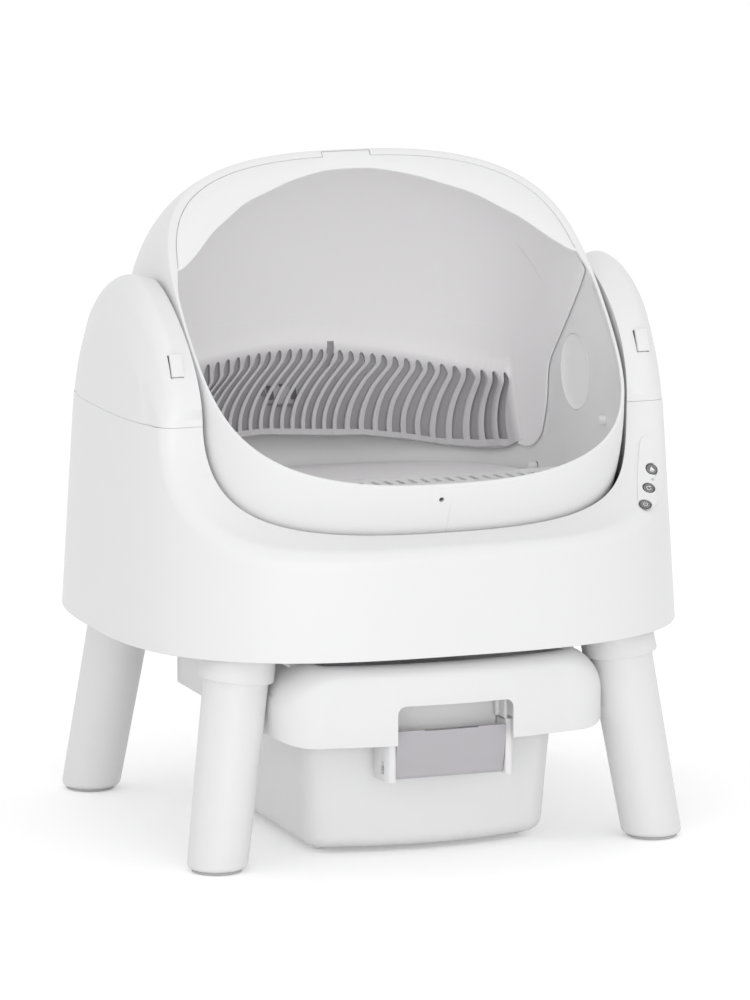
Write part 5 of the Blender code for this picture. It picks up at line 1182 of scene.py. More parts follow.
LEAN_SIDE = 0.03                  # how far the backing's left foot follows the ribs outwards


def around(x, angle, depth, proud=0.0):
    """A point inside the barrel: angle from straight down towards the back."""
    radius = barrel_radius(x, -depth) - proud
    return Vector((x, AXIS_Y + radius * math.sin(angle), AXIS_Z - radius * math.cos(angle)))


def bulge(x, angle):
    crease = CREASE - CREASE_FALL * (x / CREASE_REACH) ** 2
    share = min(max((crease - angle) / (CREASE - RIB_START), 0.0), 1.0)
    return BULGE * share


def foot_angle(x):
    return math.radians(float(np.interp(abs(x), *zip(*FOOT_LINE))))


def lean(x, angle):
    """How far a rib that ends at x on top has moved sideways at this angle."""
    fall = LEAN_FALL * (x / LEAN_REACH[x > 0]) ** 2
    share = min(max((LEAN_START - fall - angle) / LEAN_RUN, 0.0), 1.0)
    share -= LEAN_EASE * (1 - math.exp(-share / LEAN_EASE))
    return float(np.interp(x, *zip(*LEAN))) * (1 - (1 - share) ** 2)


SHEET_BACK, SHEET_FRONT = 0.0074, 0.0106
BACKING_BACK, BACKING_FRONT = 0.0062, 0.0066
TALL_PLACE = 0.038                # middle of the one slot with a square, higher top
FOOT_ROWS, SLOT_ROWS, HEAD_ROWS = 3, 26, 8
SHEET_ROWS = FOOT_ROWS + SLOT_ROWS + HEAD_ROWS + 1
SHEET_HEAD = math.radians(98)
SHEET_SIDE = (0.190, 0.1988)      # where the sheet runs flat into its ends
SHEET_LEAST = 0.0006
SHEET_END, BACKING_END, BACKING_BULGE, BACKING_ROWS = 0.199, 0.196, 0.86, SHEET_ROWS - 7
RIB_CROWN = 0.0004
RIB_SHARES, GAP_SHARES = (-1, -0.6, 0, 0.6, 1), (-0.5, 0, 0.5)
CATCH_PARTS = (                   # x from and to, angle of top and foot, rise, finish
    (-0.0255, -0.0065, 80.9, 76.4, 0.0010, CATCH_GREY),
    (-0.0300, -0.0240, 81.3, 77.6, 0.0016, BUTTON_EDGE),
    (-0.0168, -0.0105, 81.6, 80.9, 0.0016, BUTTON_EDGE),
    (-0.0064, -0.0005, 80.6, 77.4, 0.0016, BUTTON_EDGE),
    (-0.0360, -0.0322, 80.3, 78.7, 0.0014, BUTTON_GREY),
    (-0.0306, -0.0254, 76.6, 76.1, 0.0014, BUTTON_GREY),
    (-0.0216, -0.0062, 76.2, 75.5, 0.0014, BUTTON_GREY),
)


def rib_edges():
    middles = [(k - (RIB_COUNT - 1) / 2) * RIB_PITCH for k in range(RIB_COUNT)]
    edges = [(m - RIB_WIDTH / 2, m + RIB_WIDTH / 2) for m in middles]
    return [(-high, -low) for low, high in reversed(CORNER_RIBS)] + edges + list(CORNER_RIBS)


def slot_columns():
    """Places across the sheet: x, the slot it belongs to, and its share across that slot."""
    columns, edges = [], rib_edges()
    for k, (low, high) in enumerate(edges):
        for share in RIB_SHARES:
            columns.append((lerp(low, high, (share + 1) / 2), None, abs(share)))
        if k < len(edges) - 1:
            for share in GAP_SHARES:
                columns.append((lerp(high, edges[k + 1][0], (share + 1) / 2), k, share))
    return columns


COLUMNS = slot_columns()
TALL_SLOT = min((abs(x - TALL_PLACE), slot) for x, slot, share in COLUMNS if slot is not None)[1]
TIP_SHAPE = ((-1.0, 1.0), (-0.5, 0.45), (0.0, 0.12), (0.5, 0.0), (1.0, 0.22))


def tip_level(x):
    return RIB_TIP - TIP_FALL * (abs(x) / TIP_REACH) ** 1.6


def tip_angle(j):
    """Height of the slots' tops at a column, slanted towards the middle of the drum."""
    x, slot, share = COLUMNS[j]
    level = tip_level(x)
    if slot is None:
        before = COLUMNS[max(j - 1, 0)][1]
        after = COLUMNS[min(j + 1, len(COLUMNS) - 1)][1]
        if before is None and after is None:
            return level - SLANT * 0.4
        slot, share = (after, -1.0) if before is None else (before, 1.0)
    if slot == TALL_SLOT:
        return RIB_HEAD
    side = share if x < TALL_PLACE else -share
    return level - SLANT * float(np.interp(side, *zip(*TIP_SHAPE)))


def sheet_angle(j, row):
    x = COLUMNS[j][0]
    foot, tip = foot_angle(x), tip_angle(j)
    start = foot + math.radians(1.7 + smooth(abs(x), 0.15, SHEET_END))
    if row <= FOOT_ROWS:
        return lerp(foot, start, row / FOOT_ROWS)
    if row <= FOOT_ROWS + SLOT_ROWS:
        return lerp(start, tip, (row - FOOT_ROWS) / SLOT_ROWS)
    return lerp(tip, SHEET_HEAD, (row - FOOT_ROWS - SLOT_ROWS) / HEAD_ROWS)


def sheet_grid(depth, crown=0.0, taper=False):
    grid = []
    for row in range(SHEET_ROWS):
        line = []
        for j, (x, slot, share) in enumerate(COLUMNS):
            angle, top = sheet_angle(j, row), tip_level(x)
            fade = smooth(angle, top, top + math.radians(6))
            side = smooth(abs(x), *SHEET_SIDE)
            here = lerp(depth, LINER_FRONT + GAP, max(fade, side)) if taper else depth
            if crown and slot is None:
                here += crown * (1 - share ** 2) * (1 - smooth(angle, top - SLANT * 2, top - SLANT))
            place = x - lean(x, angle)
            line.append(around(place, angle, here, bulge(place, angle) * (1 - side)))
        grid.append(line)
    return grid


# Painted shade on the sieve's ribs: its upper border falls towards the ends like the slots' tips,
# and it fades out at the sheet's ends.
SHADE_LINE_DROP, SHADE_LINE_REACH = 0.030, 0.19
SHADE_FADE_ENDS, SHADE_FADE_HEAD = (0.194, 0.1985), (AXIS_Z - 0.003, AXIS_Z + 0.009)


def ramp(tree, value, low, high):
    """A node output that goes from 0 to 1 between two values."""
    made = tree.nodes.new('ShaderNodeMapRange')
    made.inputs["From Min"].default_value = low
    made.inputs["From Max"].default_value = high
    tree.links.new(value, made.inputs["Value"])
    return made.outputs["Result"]


def sieve_finish():
    """The liner's plastic, with painted shade: darker on the ribs among the slots, with soft borders
    above them and at the ends.
    """
    made = moulded_finish("sieve_painted_shade", LINER_TONE, 0.52, grain=650.0, bump=0.18)
    tree = made.node_tree
    look = next(node for node in tree.nodes if node.type == 'GROUP')
    parts = tree.nodes.new('ShaderNodeSeparateXYZ')
    wire(tree, tree.nodes.new('ShaderNodeTexCoord'), "Object", parts, "Vector")
    side = math_node(tree, 'ABSOLUTE', parts.outputs["X"])
    bend = math_node(tree, 'POWER', math_node(tree, 'DIVIDE', side, SHADE_LINE_REACH), 1.6)
    drop = math_node(tree, 'MULTIPLY', bend, SHADE_LINE_DROP)
    level = math_node(tree, 'ADD', drop, parts.outputs["Z"])
    tone = tree.nodes.new('ShaderNodeMixRGB')
    tone.inputs["Color1"].default_value = (*RIB_PAINTED_SHADE, 1.0)
    tone.inputs["Color2"].default_value = (*LINER_TONE, 1.0)
    most = math_node(tree, 'MAXIMUM', ramp(tree, side, *SHADE_FADE_ENDS), ramp(tree, level, *SHADE_FADE_HEAD))
    tree.links.new(most, tone.inputs["Fac"])
    wire(tree, tone, "Color", look, "Colour")
    return made


def in_slot(i, j):
    rows = FOOT_ROWS <= i < FOOT_ROWS + SLOT_ROWS
    return rows and (COLUMNS[j][1] is not None or COLUMNS[j + 1][1] is not None)


def backing_grid(depth):
    """The dark sheet behind the slots, painted shade for the hollow there; on the left its foot
    follows the leaning ribs outwards.
    """
    grid = []
    for row in range(BACKING_ROWS):
        line = []
        for j in range(0, len(COLUMNS), 2):
            x = COLUMNS[j][0] * BACKING_END / SHEET_END
            foot = foot_angle(max(-x - LEAN_SIDE, 0.0)) + math.radians(0.5) if x < 0 else 0.0
            angle = min(max(sheet_angle(j, row), foot + 0.0005 * row), RIB_HEAD + 0.01)
            line.append(around(x, angle, depth, bulge(x, angle) * BACKING_BULGE))
        grid.append(line)
    return grid


def catch_grid(first, last, top, foot, proud):
    """A small plate on the backing."""
    grid = []
    for i in range(3):
        angle = math.radians(lerp(foot, top, i / 2))
        grid.append([around(x, angle, BACKING_FRONT, BACKING_BULGE * bulge(x, angle) + proud)
                     for x in (first, lerp(first, last, 0.5), last)])
    return grid


def make_sieve():
    front = sheet_grid(SHEET_FRONT, RIB_CROWN, True)
    back = sheet_grid(SHEET_BACK)
    for row_front, row_back in zip(front, back):
        for j, (ahead, behind) in enumerate(zip(row_front, row_back)):
            if (ahead - AXIS).length > (behind - AXIS).length - SHEET_LEAST:
                away = ahead - Vector((ahead.x, AXIS_Y, AXIS_Z))
                row_back[j] = ahead + away.normalized() * SHEET_LEAST
    piece("sieve_sheet", panel(front, back, lambda i, j: not in_slot(i, j)), sieve_finish(),
          "drum", "rib_grey", "sieve", angle=28.0)
    # A dark sheet close behind the slots: painted shade for the hollow behind the sieve.
    piece("sieve_shade_backing", panel(backing_grid(BACKING_FRONT), backing_grid(BACKING_BACK)),
          RECESS_PAINTED_SHADE, "drum", "dark_grey", angle=28.0)
    for k, (*place, rise, finish) in enumerate(CATCH_PARTS, 1):
        piece("sieve_catch_%d" % k, panel(catch_grid(*place, rise), catch_grid(*place, 0.0)),
              finish, "drum", "dark_grey")


# Shelf over the litter at the front, and the drum's floor
SHELF_TOP, SHELF_THICKNESS, SHELF_BACK = 0.3240, 0.003, 0.005
SLOT_COUNT, SLOT_PITCH, SLOT_WIDTH, SLOT_LENGTH, SLOT_SETBACK = 31, 0.0125, 0.005, 0.025, 0.017
FLOOR_TOP, FLOOR_THICKNESS, FLOOR_FRONT = 0.3080, 0.0025, -0.035
SHELF_FIT, FLOOR_FIT = 0.0016, 0.0028


def drum_slice(low_z, y_from, y_to, count, fit):
    """Level outline of the drum's inside between two depths."""
    grow = -DRUM_WALL - fit
    points = [barrel_ring_point(math.pi * k / FINE, low_z, grow) for k in range(FINE + 1)]
    points = [p for p in points if y_from <= p.y <= y_to]
    for edge in (y_from, y_to):
        x = barrel_x(edge, low_z, grow)
        if x > 0:
            points.append(Vector((x, edge, low_z)))
    points.sort(key=lambda p: p.y)
    half = resample(points, count)
    return [(p.x, p.y) for p in half] + [(-p.x, p.y) for p in reversed(half) if p.x > WELD]


def round_slot(middle, low, high, width, sides=6):
    radius = width / 2
    ends = ((0.0, high - radius), (math.pi, low + radius))
    return [(middle + radius * math.cos(start + math.pi * k / sides),
             end + radius * math.sin(start + math.pi * k / sides))
            for start, end in ends for k in range(sides + 1)]


def make_floors():
    low = SHELF_TOP - SHELF_THICKNESS
    outline = drum_slice(low, -DRUM_RADIUS, SHELF_BACK, 60, SHELF_FIT)
    back = SHELF_BACK - SLOT_SETBACK
    slots = [round_slot((k - (SLOT_COUNT - 1) / 2) * SLOT_PITCH, back - SLOT_LENGTH, back,
                        SLOT_WIDTH) for k in range(SLOT_COUNT)]
    piece("front_shelf", slab(outline, slots, low, SHELF_TOP), SHELL_WHITE, "drum",
          "white_shell", "front_grille", rounding=(0.0005, 1))
    low = FLOOR_TOP - FLOOR_THICKNESS
    outline = drum_slice(low, FLOOR_FRONT, DRUM_RADIUS, 60, FLOOR_FIT)
    piece("litter_floor", slab(outline, [], low, FLOOR_TOP), LINER_GREY, "drum",
          "inner_grey", "drum_floor", rounding=(0.0005, 1))


# Visor: a thin white sheet with a wavy lower edge, clipped into the lip
VISOR_EDGE = ((0.0, 0.1775), (0.0114, 0.1773), (0.03, 0.1752), (0.0632, 0.1655), (0.085, 0.1556),
              (0.1143, 0.1415), (0.136, 0.1245), (0.155, 0.1085), (0.1790, 0.0820),
              (0.1945, 0.0676), (0.2020, 0.0645))


def bend_curve(points, count):
    """A smooth curve through points, even in its own length."""
    made = []
    for k in range(len(points) - 1):
        p0, p1 = points[max(k - 1, 0)], points[k]
        p2, p3 = points[k + 1], points[min(k + 2, len(points) - 1)]
        for step in range(8):
            t = step / 8
            made.append(tuple(0.5 * (2 * b + (c - a) * t + (2 * a - 5 * b + 4 * c - d) * t * t
                                     + (3 * b - a - 3 * c + d) * t ** 3)
                              for a, b, c, d in zip(p0, p1, p2, p3)))
    made.append(points[-1])
    return [(p.x, p.y) for p in resample(made, count)]


def make_visor():
    rim = [(max(p.x, 0.0), p.y) for p in lip_edge(section_outline(MOUTH_OFFSET, 0.0, 320),
                                                  VISOR_SLIT)
           if p.x >= 0 and p.y > VISOR_EDGE[-1][1]]
    beside = [p for p in sorted(rim, key=lambda p: -p[1]) if p[0] > CLIP_HALF + VISOR_SLIT]
    clip = [(0.0, CLIP_REACH), (CLIP_HALF - 0.0006, CLIP_REACH), (CLIP_HALF, CLIP_REACH - 0.0006),
            (CLIP_HALF, beside[0][1])]
    half = clip + beside + bend_curve(VISOR_EDGE, 90)[::-1]
    outline = half + [(-x, y) for x, y in reversed(half) if x > WELD]
    piece("visor_sheet", slab(outline, [], MOUTH_OFFSET - VISOR_THICKNESS, MOUTH_OFFSET,
                              MOUTH_FRAME),
          VISOR_WHITE, "drum", "warm_white", "visor", angle=30.0, rounding=(0.0006, 2, 50.0))


make_drum()
make_liner()
make_sieve()
make_floors()
make_visor()

# Legs
LEG_FOOT = (0.218, 0.1926)
LEG_LEAN = (0.030, 0.023)
PAN_UNDER = 0.201
LEG_RADII = (0.0285, 0.031)
SOCKET_RADIUS, SOCKET_DEPTH, SOCKET_TILT = 0.0352, 0.025, 0.004
PAD_HEIGHT = 0.0025
LEG_SIDES = 72
LEG_EDGE, SOCKET_EDGE = 0.005, 0.0012
LEG_CORNERS = (("front_left", -1, -1), ("front_right", 1, -1), ("back_left", -1, 1),
               ("back_right", 1, 1))
PAD_SHAPE = ((0.0, 0.0228), (0.0005, 0.0235), (0.0018, 0.0235), (PAD_HEIGHT, 0.0230))


def leg_ring(corner, height, radius, tilt=0.0):
    share = height / PAN_UNDER
    middle_x = corner[0] * (LEG_FOOT[0] - LEG_LEAN[0] * share)
    middle_y = corner[1] * (LEG_FOOT[1] - LEG_LEAN[1] * share)
    turns = [2 * math.pi * k / LEG_SIDES for k in range(LEG_SIDES)]
    return [Vector((middle_x + radius * math.cos(turn), middle_y + radius * math.sin(turn),
                    height + tilt * corner[0] * math.cos(turn))) for turn in turns]


def leg_radius(height):
    return lerp(*LEG_RADII, height / PAN_UNDER)


def make_legs():
    base, top = PAD_HEIGHT + GAP, PAN_UNDER - GAP
    low, edge = top - SOCKET_DEPTH, SOCKET_EDGE
    sleeve = ((low, leg_radius(low) + GAP, SOCKET_TILT), (low, SOCKET_RADIUS - edge, SOCKET_TILT),
              (low + edge * 0.3, SOCKET_RADIUS - edge * 0.3, SOCKET_TILT),
              (low + edge, SOCKET_RADIUS, SOCKET_TILT),
              (lerp(low, top, 0.5), SOCKET_RADIUS, SOCKET_TILT / 2), (top, SOCKET_RADIUS),
              (top, leg_radius(top) + GAP))
    tube = [(base + LEG_EDGE * (1 - cosine), leg_radius(base) - LEG_EDGE * (1 - sine))
            for sine, cosine in quarter_steps(6)]
    heights = [lerp(base + LEG_EDGE, top, k / 12) for k in range(1, 13)]
    tube += [(height, leg_radius(height)) for height in heights]
    for label, *corner in LEG_CORNERS:
        piece("leg_tube_" + label, loft([leg_ring(corner, *level) for level in tube]),
              LEG_WHITE, "stand", "warm_white", "leg_" + label, angle=40.0)
        piece("leg_collar_" + label, loft([leg_ring(corner, *level) for level in sleeve], True),
              LEG_WHITE, "stand", "warm_white", "leg_socket_" + label, angle=40.0)
        piece("leg_pad_" + label, loft([leg_ring(corner, *level) for level in PAD_SHAPE]),
              PAD_RUBBER, "stand", "foot_rubber", "foot_pad_" + label, angle=30.0)


make_legs()

# Drawer: hood, bin and latch
HOOD_HALF_WIDTH, HOOD_FRONT, HOOD_BOW, HOOD_CORNER = 0.165, -0.246, 0.014, 0.050
HOOD_BACK, HOOD_TOP, HOOD_WALL = 0.080, 0.1895, 0.003
HOOD_LOWS, HOOD_ROUNDS, HOOD_LIP = (0.1155, 0.1225), (0.012, 0.045), 0.006
HOOD_STEPS, HOOD_ARC = 64, 12
HOOD_HEM = 0.0008
HOOD_FRONT_SHARE, HOOD_CORNER_SHARE = 0.4, 0.35        # of the way round one half
HOOD_GROOVE_FROM, HOOD_GROOVE_TO, HOOD_GROOVE_SINK = (-0.216, 0.1600), (-0.150, 0.1670), 0.004
CUTOUT_HALF, CUTOUT_TOP, CUTOUT_CORNER = 0.0573, 0.1527, 0.008


def hood_path(t):
    """The hood's outline from the middle of its front (0) to the back of its side (1)."""
    front = HOOD_HALF_WIDTH - HOOD_CORNER
    corner_y = HOOD_FRONT + HOOD_BOW + HOOD_CORNER
    past = t - HOOD_FRONT_SHARE
    if past < 0:
        x = front * t / HOOD_FRONT_SHARE
        return Vector((x, HOOD_FRONT + HOOD_BOW * (x / front) ** 2))
    if past < HOOD_CORNER_SHARE:
        turn = math.pi / 2 * past / HOOD_CORNER_SHARE
        return Vector((front + HOOD_CORNER * math.sin(turn),
                       corner_y - HOOD_CORNER * math.cos(turn)))
    rest = 1 - HOOD_FRONT_SHARE - HOOD_CORNER_SHARE
    return Vector((HOOD_HALF_WIDTH, lerp(corner_y, HOOD_BACK, (past - HOOD_CORNER_SHARE) / rest)))


def hood_mesh():
    half = []
    for k in range(HOOD_STEPS + 1):
        t = k / HOOD_STEPS
        run = (hood_path(min(t + 0.01, 1)) - hood_path(max(t - 0.01, 0))).normalized()
        inside = Vector((-run.y, run.x, 0)) if t > 0 else Vector((0, 1, 0))
        bend = lerp(*HOOD_ROUNDS, smooth(t, 0.36, 0.72))
        low = lerp(*HOOD_LOWS, smooth(t, 0.5, 0.75))
        base = Vector((*hood_path(t), 0))
        rings = []
        for skin, hem in ((0.0, HOOD_HEM), (HOOD_WALL, -HOOD_HEM)):
            places = [(skin + hem, low), (skin + hem * 0.3, low + HOOD_HEM * 0.3),
                      (skin, low + HOOD_HEM)]
            places += [(bend - (bend - skin) * cosine, HOOD_TOP - bend + (bend - skin) * sine)
                       for sine, cosine in quarter_steps(HOOD_ARC)]
            places.append((bend + HOOD_LIP, HOOD_TOP - skin))
            rings.append([base + inside * gone + above(height) for gone, height in places])
        half.append(rings[0] + rings[1][::-1])
    return loft([mirrored(ring) for ring in reversed(half[1:])] + half)


BIN_HALVES, BIN_FRONT, BIN_BOW, BIN_BACK = (0.119, 0.129), -0.195, 0.020, 0.075
BIN_TOP, BIN_FOOT, BIN_CORNER, BIN_EDGE = 0.150, 0.005, 0.024, 0.014
BIN_WALL, BIN_LIP = 0.0025, 0.006
BIN_POINTS = 144


def bin_ring(height, grow):
    """Rounded outline of the bin with a bowed front."""
    share = (height - BIN_FOOT) / (BIN_TOP - BIN_FOOT)
    half_width = lerp(*BIN_HALVES, share) + grow
    corner = BIN_CORNER + grow
    taper = lerp(BIN_HALVES[1] - BIN_HALVES[0], 0, share)
    front, back = BIN_FRONT - grow + taper, BIN_BACK + grow - taper
    side = half_width - corner
    bow = [side * k / 24 for k in range(25)]
    half = [(x, front + BIN_BOW * (x / half_width) ** 2) for x in bow]
    start = half[-1][1]
    half += [(side + corner * sine, start + corner * (1 - cosine))
             for sine, cosine in quarter_steps(24, 1)]
    half += [(side + corner * cosine, back - corner + corner * sine)
             for sine, cosine in quarter_steps(24)]
    half.append((0.0, back))
    return [Vector((*p, height)) for p in closed(resample(half, BIN_POINTS // 2))]


def bin_skin(skin, lift):
    edge = BIN_EDGE - skin
    return [bin_ring(BIN_FOOT + lift + edge * (1 - cosine), -skin - edge * (1 - sine))
            for sine, cosine in quarter_steps(10)]


def bin_mesh():
    edge, under = 0.0006, BIN_TOP - BIN_LIP
    levels = [(lerp(0.04, under, k / 6), 0.0) for k in range(1, 7)]
    levels += [(under, BIN_LIP - edge), (under + edge, BIN_LIP), (BIN_TOP - edge, BIN_LIP),
               (BIN_TOP, BIN_LIP - edge), (BIN_TOP, edge - BIN_WALL), (BIN_TOP - edge, -BIN_WALL)]
    return loft(bin_skin(0.0, 0.0) + [bin_ring(*level) for level in levels]
                + bin_skin(BIN_WALL, BIN_WALL)[::-1])


PADDLE_HALF, PADDLE_LOW, PADDLE_HIGH, PADDLE_THICKNESS = 0.0540, 0.079, 0.127, 0.003
PADDLE_FOOT_Y, PADDLE_TOP_Y, PADDLE_CURL = -0.224, -0.2325, 0.006
PIN_Y, PIN_Z, PIN_RADIUS = -0.2175, 0.0905, 0.0022
EAR_THICKNESS, LATCH_EAR_FRONT, LATCH_EAR_LOW, LATCH_EAR_HIGH = 0.0095, -0.229, 0.078, 0.131
LATCH_PLATE = 0.003
PADDLE_LIP = 0.0011               # rise of the paddle's top edge at both ends
PADDLE_STEP = (0.0262, 0.0267, 0.0272)
PADDLE_BEVEL = 0.0004
CHEEK_FACE, CHEEK_ROUND = 0.0042, 0.011
FIN_WIDTH, FIN_TOP, FIN_FRONT = 0.0032, 0.1545, -0.2255
WALL_FRONT, WALL_BACK = BIN_FRONT - BIN_LIP - 0.0042, BIN_FRONT - BIN_LIP - 0.0012
RIB_FRONT, RIB_BACK = -0.2135, -0.2090
GLIDE_PLACE = (0.1005, -0.141)
GLIDE_SHAPE = ((0, 0.001), (0.0036, 0.001), (0.0044, 0.0014), (0.0048, 0.0024),
               (0.005, BIN_FOOT - GAP), (0, BIN_FOOT - GAP))
CHEEK_INSIDE = PADDLE_HALF + 2 * GAP
CHEEK_OUTSIDE = CHEEK_INSIDE + EAR_THICKNESS
PIN_WINDOW = ((-0.0038, -0.0050), (0.0022, -0.0050), (0.0040, -0.0038), (0.0048, -0.0018),
              (0.0050, 0.0010), (0.0046, 0.0036), (0.0034, 0.0056), (0.0018, 0.0066),
              (-0.0038, 0.0066))


def paddle_section(x):
    """Side profile of the paddle at one place across it."""
    slope = (PADDLE_TOP_Y - PADDLE_FOOT_Y) / (PADDLE_HIGH - PADDLE_LOW)
    knuckle = PIN_RADIUS + GAP + PADDLE_THICKNESS * 0.7
    curl = PADDLE_CURL * 0.9
    high = PADDLE_HIGH - PADDLE_LIP * (1 - smooth(abs(x), PADDLE_STEP[0], PADDLE_STEP[-1]))
    top_y = PADDLE_FOOT_Y + slope * (high - PADDLE_LOW)
    front = [(PADDLE_FOOT_Y + curl * (1 - sine), PADDLE_LOW + curl * (1 - cosine))
             for sine, cosine in quarter_steps(8)]
    heights = [lerp(PADDLE_LOW + curl, high - 0.0008, k / 12) for k in range(1, 13)]
    front += [(PADDLE_FOOT_Y + slope * (z - PADDLE_LOW) * smooth(z, PADDLE_LOW, PADDLE_LOW + 0.02),
               z) for z in heights]
    front += [(top_y + 0.0002, high - 0.0002), (top_y + 0.0008, high)]
    joint = PIN_Z + knuckle
    back = [(top_y + PADDLE_THICKNESS - 0.0006, high), (top_y + PADDLE_THICKNESS, high - 0.0006),
            (PADDLE_FOOT_Y + PADDLE_THICKNESS + slope * (joint - PADDLE_LOW), joint)]
    turns = [math.pi / 2 - math.pi * k / 12 for k in range(1, 12)]
    back += [(PIN_Y + knuckle * math.cos(turn), PIN_Z + knuckle * math.sin(turn))
             for turn in turns]
    return front + back + [(PIN_Y, PIN_Z - knuckle)]


def paddle_mesh():
    stops = (*PADDLE_STEP, PADDLE_HALF - PADDLE_BEVEL, PADDLE_HALF)
    stops = [-x for x in reversed(stops)] + [0, *stops]
    rings = []
    for x in stops:
        section = paddle_section(x)
        shrink = PADDLE_BEVEL / 0.02 if abs(x) == PADDLE_HALF else 0.0
        middle = [sum(values) / len(section) for values in zip(*section)]
        rings.append([Vector((x, lerp(y, middle[0], shrink), lerp(z, middle[1], shrink)))
                      for y, z in section])
    return loft(rings)


def latch_ear(sign):
    """A cheek beside the paddle: flat inside, its outer front edge rounded off."""
    face, back = CHEEK_INSIDE + CHEEK_FACE, BIN_FRONT - 0.0009
    plan = [(CHEEK_INSIDE, back), (CHEEK_INSIDE, LATCH_EAR_FRONT + 0.0006),
            (CHEEK_INSIDE + 0.0006, LATCH_EAR_FRONT), (face, LATCH_EAR_FRONT)]
    plan += [(lerp(face, CHEEK_OUTSIDE, sine), LATCH_EAR_FRONT + CHEEK_ROUND * (1 - cosine))
             for sine, cosine in quarter_steps(8, 1)]
    plan = [(sign * x, y) for x, y in plan + [(CHEEK_OUTSIDE, back)]]
    return slab(plan if sign < 0 else plan[::-1], [], LATCH_EAR_LOW, LATCH_EAR_HIGH)


def hood_cuts():
    """The window in the hood's front, rounded on top, and a groove in each side."""
    low = HOOD_LOWS[0] - 0.004
    corner = [(CUTOUT_HALF - CUTOUT_CORNER * (1 - cosine), CUTOUT_TOP - CUTOUT_CORNER * (1 - sine))
              for sine, cosine in quarter_steps(12)]
    opening = [(-CUTOUT_HALF, low), (CUTOUT_HALF, low)] + corner
    opening += [(-x, y) for x, y in reversed(corner)]
    return [slab(opening, [], -HOOD_FRONT - HOOD_WALL - 0.004, -HOOD_FRONT + 0.004, FRONT_FRAME)] + [
        block((sign * HOOD_HALF_WIDTH - HOOD_GROOVE_SINK, *HOOD_GROOVE_FROM),
              (sign * HOOD_HALF_WIDTH + HOOD_GROOVE_SINK, *HOOD_GROOVE_TO), 0.0008, 2)
        for _, sign in SIDES]


def make_cheek(label, sign):
    """A cheek with its half of the hinge pin, and a fin and a rib behind the window."""
    seat = [(PIN_Y + y, PIN_Z + z) for y, z in PIN_WINDOW]
    bore = circle(PIN_RADIUS + GAP * 0.6, 32, (PIN_Y, PIN_Z))
    cuts = [slab(seat, [], *span(sign, CHEEK_OUTSIDE - 0.0034, CHEEK_OUTSIDE + 0.002), side_frame()),
            slab(bore, [], *span(sign, CHEEK_INSIDE - 0.002, CHEEK_OUTSIDE + 0.002), side_frame())]
    piece("latch_cheek_" + label, latch_ear(sign), SHELL_WHITE, "drawer", "white_shell",
          angle=30.0, cuts=cuts, rounding=(0.0006, 2, 50.0))
    low, high = span(sign, CHEEK_INSIDE - 0.001, CHEEK_OUTSIDE - 0.0036)
    rod = [(0, low), (PIN_RADIUS - 0.0003, low), (PIN_RADIUS, low + 0.0003),
           (PIN_RADIUS, high - 0.0003), (PIN_RADIUS - 0.0003, high), (0, high)]
    piece("hinge_pin_" + label, turned(rod, 32, sideways(PIN_Y, PIN_Z)), ZINC, "drawer", "steel")
    low, high = span(sign, CHEEK_INSIDE, CHEEK_INSIDE + FIN_WIDTH)
    piece("window_fin_" + label, block((low, FIN_FRONT, LATCH_EAR_HIGH - 0.002),
                                       (high, BIN_FRONT - 0.008, FIN_TOP), 0.0008, 2),
          SHELL_WHITE, "drawer", "white_shell")
    low, high = span(sign, CHEEK_INSIDE - 0.0042, CHEEK_INSIDE + 0.0004)
    piece("window_rib_" + label, block((low, RIB_FRONT, LATCH_EAR_HIGH),
                                       (high, RIB_BACK, FIN_TOP - 0.006), 0.0018, 3),
          SHELL_WHITE, "drawer", "white_shell")


def make_drawer():
    piece("bin_hood", hood_mesh(), SHELL_WHITE, "drawer", "white_shell", "drawer_hood",
          angle=40.0, cuts=hood_cuts(), rounding=(0.0005, 2, 50.0))
    piece("bin_tray", bin_mesh(), SHELL_WHITE, "drawer", "warm_white", "waste_bin", angle=40.0)
    share = (LATCH_EAR_HIGH - BIN_FOOT) / (BIN_TOP - BIN_FOOT)
    plate_y = BIN_FRONT + (BIN_HALVES[1] - BIN_HALVES[0]) * (1 - share) - GAP
    # The plate and the wall behind the window take the lighter white: painted light for the shade
    # under the hood.
    piece("latch_plate", block((-PADDLE_HALF, plate_y - LATCH_PLATE, LATCH_EAR_LOW),
                               (PADDLE_HALF, plate_y, LATCH_EAR_HIGH), 0.0004, 2),
          WHITE_PAINTED_LIGHT, "drawer", "white_shell", "latch_bracket")
    piece("window_wall", block((-PADDLE_HALF, WALL_FRONT, LATCH_EAR_HIGH - 0.010),
                               (PADDLE_HALF, WALL_BACK, FIN_TOP + 0.002), 0.0008, 2),
          WHITE_PAINTED_LIGHT, "drawer", "white_shell")
    for label, sign in SIDES:
        make_cheek(label, sign)
    piece("latch_flap", paddle_mesh(), PADDLE_SATIN, "latch", "paddle_grey", "bin_latch",
          angle=30.0, cuts=[plug(PIN_RADIUS + GAP, -0.06, 0.06, 32, sideways(PIN_Y, PIN_Z))])
    for label, sign in SIDES:
        place = Matrix.Translation((sign * GLIDE_PLACE[0], GLIDE_PLACE[1], 0))
        piece("glide_button_" + label, turned(GLIDE_SHAPE, 32, place), LEG_WHITE, "drawer",
              "warm_white", "bin_glide_" + label)


make_drawer()

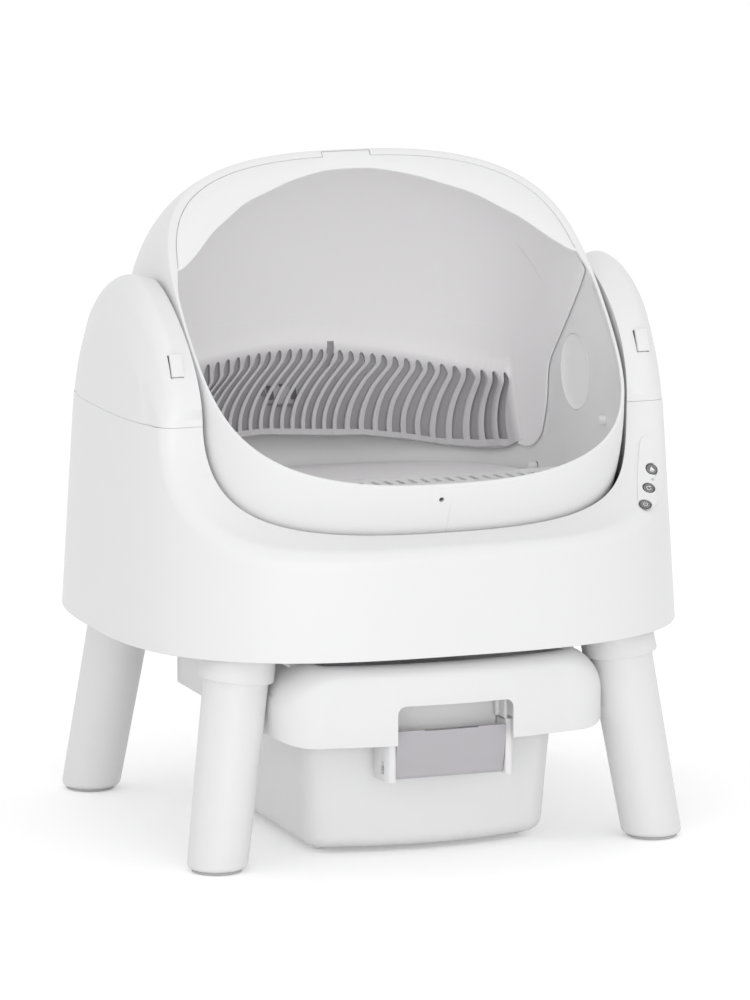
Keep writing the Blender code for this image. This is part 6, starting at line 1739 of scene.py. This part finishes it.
# Solids that stay, in finishes of their own
KEPT_FINISHES = {
    SHELL_WHITE: ("inner_cradle", "base_pan", "bin_ledge_left", "bin_ledge_right"),
    PART_DARK: ("pivot_block_left", "pivot_block_right", "drum_gear"),
    ZINC: ("motor_bracket", "drawer_rail_left", "drawer_rail_right", "runner_left",
           "runner_right", "latch_pin", "drive_pinion"),
    MOTOR_STEEL: ("drive_motor",),
    BOARD_GREEN: ("control_board",),
}
for finish, names in KEPT_FINISHES.items():
    for name in names:
        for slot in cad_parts[name].material_slots:
            slot.material = finish

# Floor, backdrop and light
WORLD_LIGHT = 0.81
FLOOR_GLOW = 0.27


def seen_directly(tree):
    """One for rays from the camera, a reflection or through glass, zero for fill light."""
    ray = tree.nodes.new('ShaderNodeLightPath').outputs
    seen = math_node(tree, 'MAXIMUM', ray["Is Camera Ray"], ray["Is Glossy Ray"])
    return math_node(tree, 'MAXIMUM', seen, ray["Is Transmission Ray"])


def make_stage():
    mesh = bmesh.new()
    bmesh.ops.create_grid(mesh, x_segments=1, y_segments=1, size=14.0)
    floor = mesh_object("studio_floor", mesh)
    floor.location = (0, 3.0, -0.0002)
    made, tree, shader = new_finish("studio_floor")
    shader.inputs["Base Color"].default_value = (0.93, 0.93, 0.93, 1.0)
    shader.inputs["Roughness"].default_value = 0.9
    shader.inputs["Specular IOR Level"].default_value = 0.1
    shader.inputs["Emission Color"].default_value = (1.0, 1.0, 1.0, 1.0)
    glow = math_node(tree, 'MULTIPLY', seen_directly(tree), FLOOR_GLOW)
    tree.links.new(glow, shader.inputs["Emission Strength"])
    floor.data.materials.append(made)
    floor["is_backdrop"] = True
    world = bpy.data.worlds.new("studio")
    bpy.context.scene.world = world
    world.use_nodes = True
    tree = world.node_tree
    sky = tree.nodes["Background"]
    sky.inputs["Color"].default_value = (1.0, 1.0, 1.0, 1.0)
    span = math_node(tree, 'MULTIPLY', seen_directly(tree), 1.0 - WORLD_LIGHT)
    tree.links.new(math_node(tree, 'ADD', span, WORLD_LIGHT), sky.inputs["Strength"])


def add_lamp(name, place, aim, size, power):
    data = bpy.data.lights.new(name, 'AREA')
    data.shape = 'RECTANGLE'
    data.size, data.size_y = size
    data.energy = power
    lamp = bpy.data.objects.new(name, data)
    lamp.location = place
    lamp.rotation_euler = (Vector(aim) - Vector(place)).to_track_quat('-Z', 'Y').to_euler()
    bpy.context.scene.collection.objects.link(lamp)


make_stage()
add_lamp("top_panel", (-0.3, -0.9, 2.6), (0, 0, 0.35), (1.8, 1.6), 3.0)
add_lamp("front_panel", (-0.9, -3.5, 0.66), (0, 0, 0.36), (3.2, 1.2), 28.0)


def corners(box):
    return [[float(value) for value in corner] for corner in box]


{"cad": corners(CAD_BOX), "visual": corners(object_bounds())}
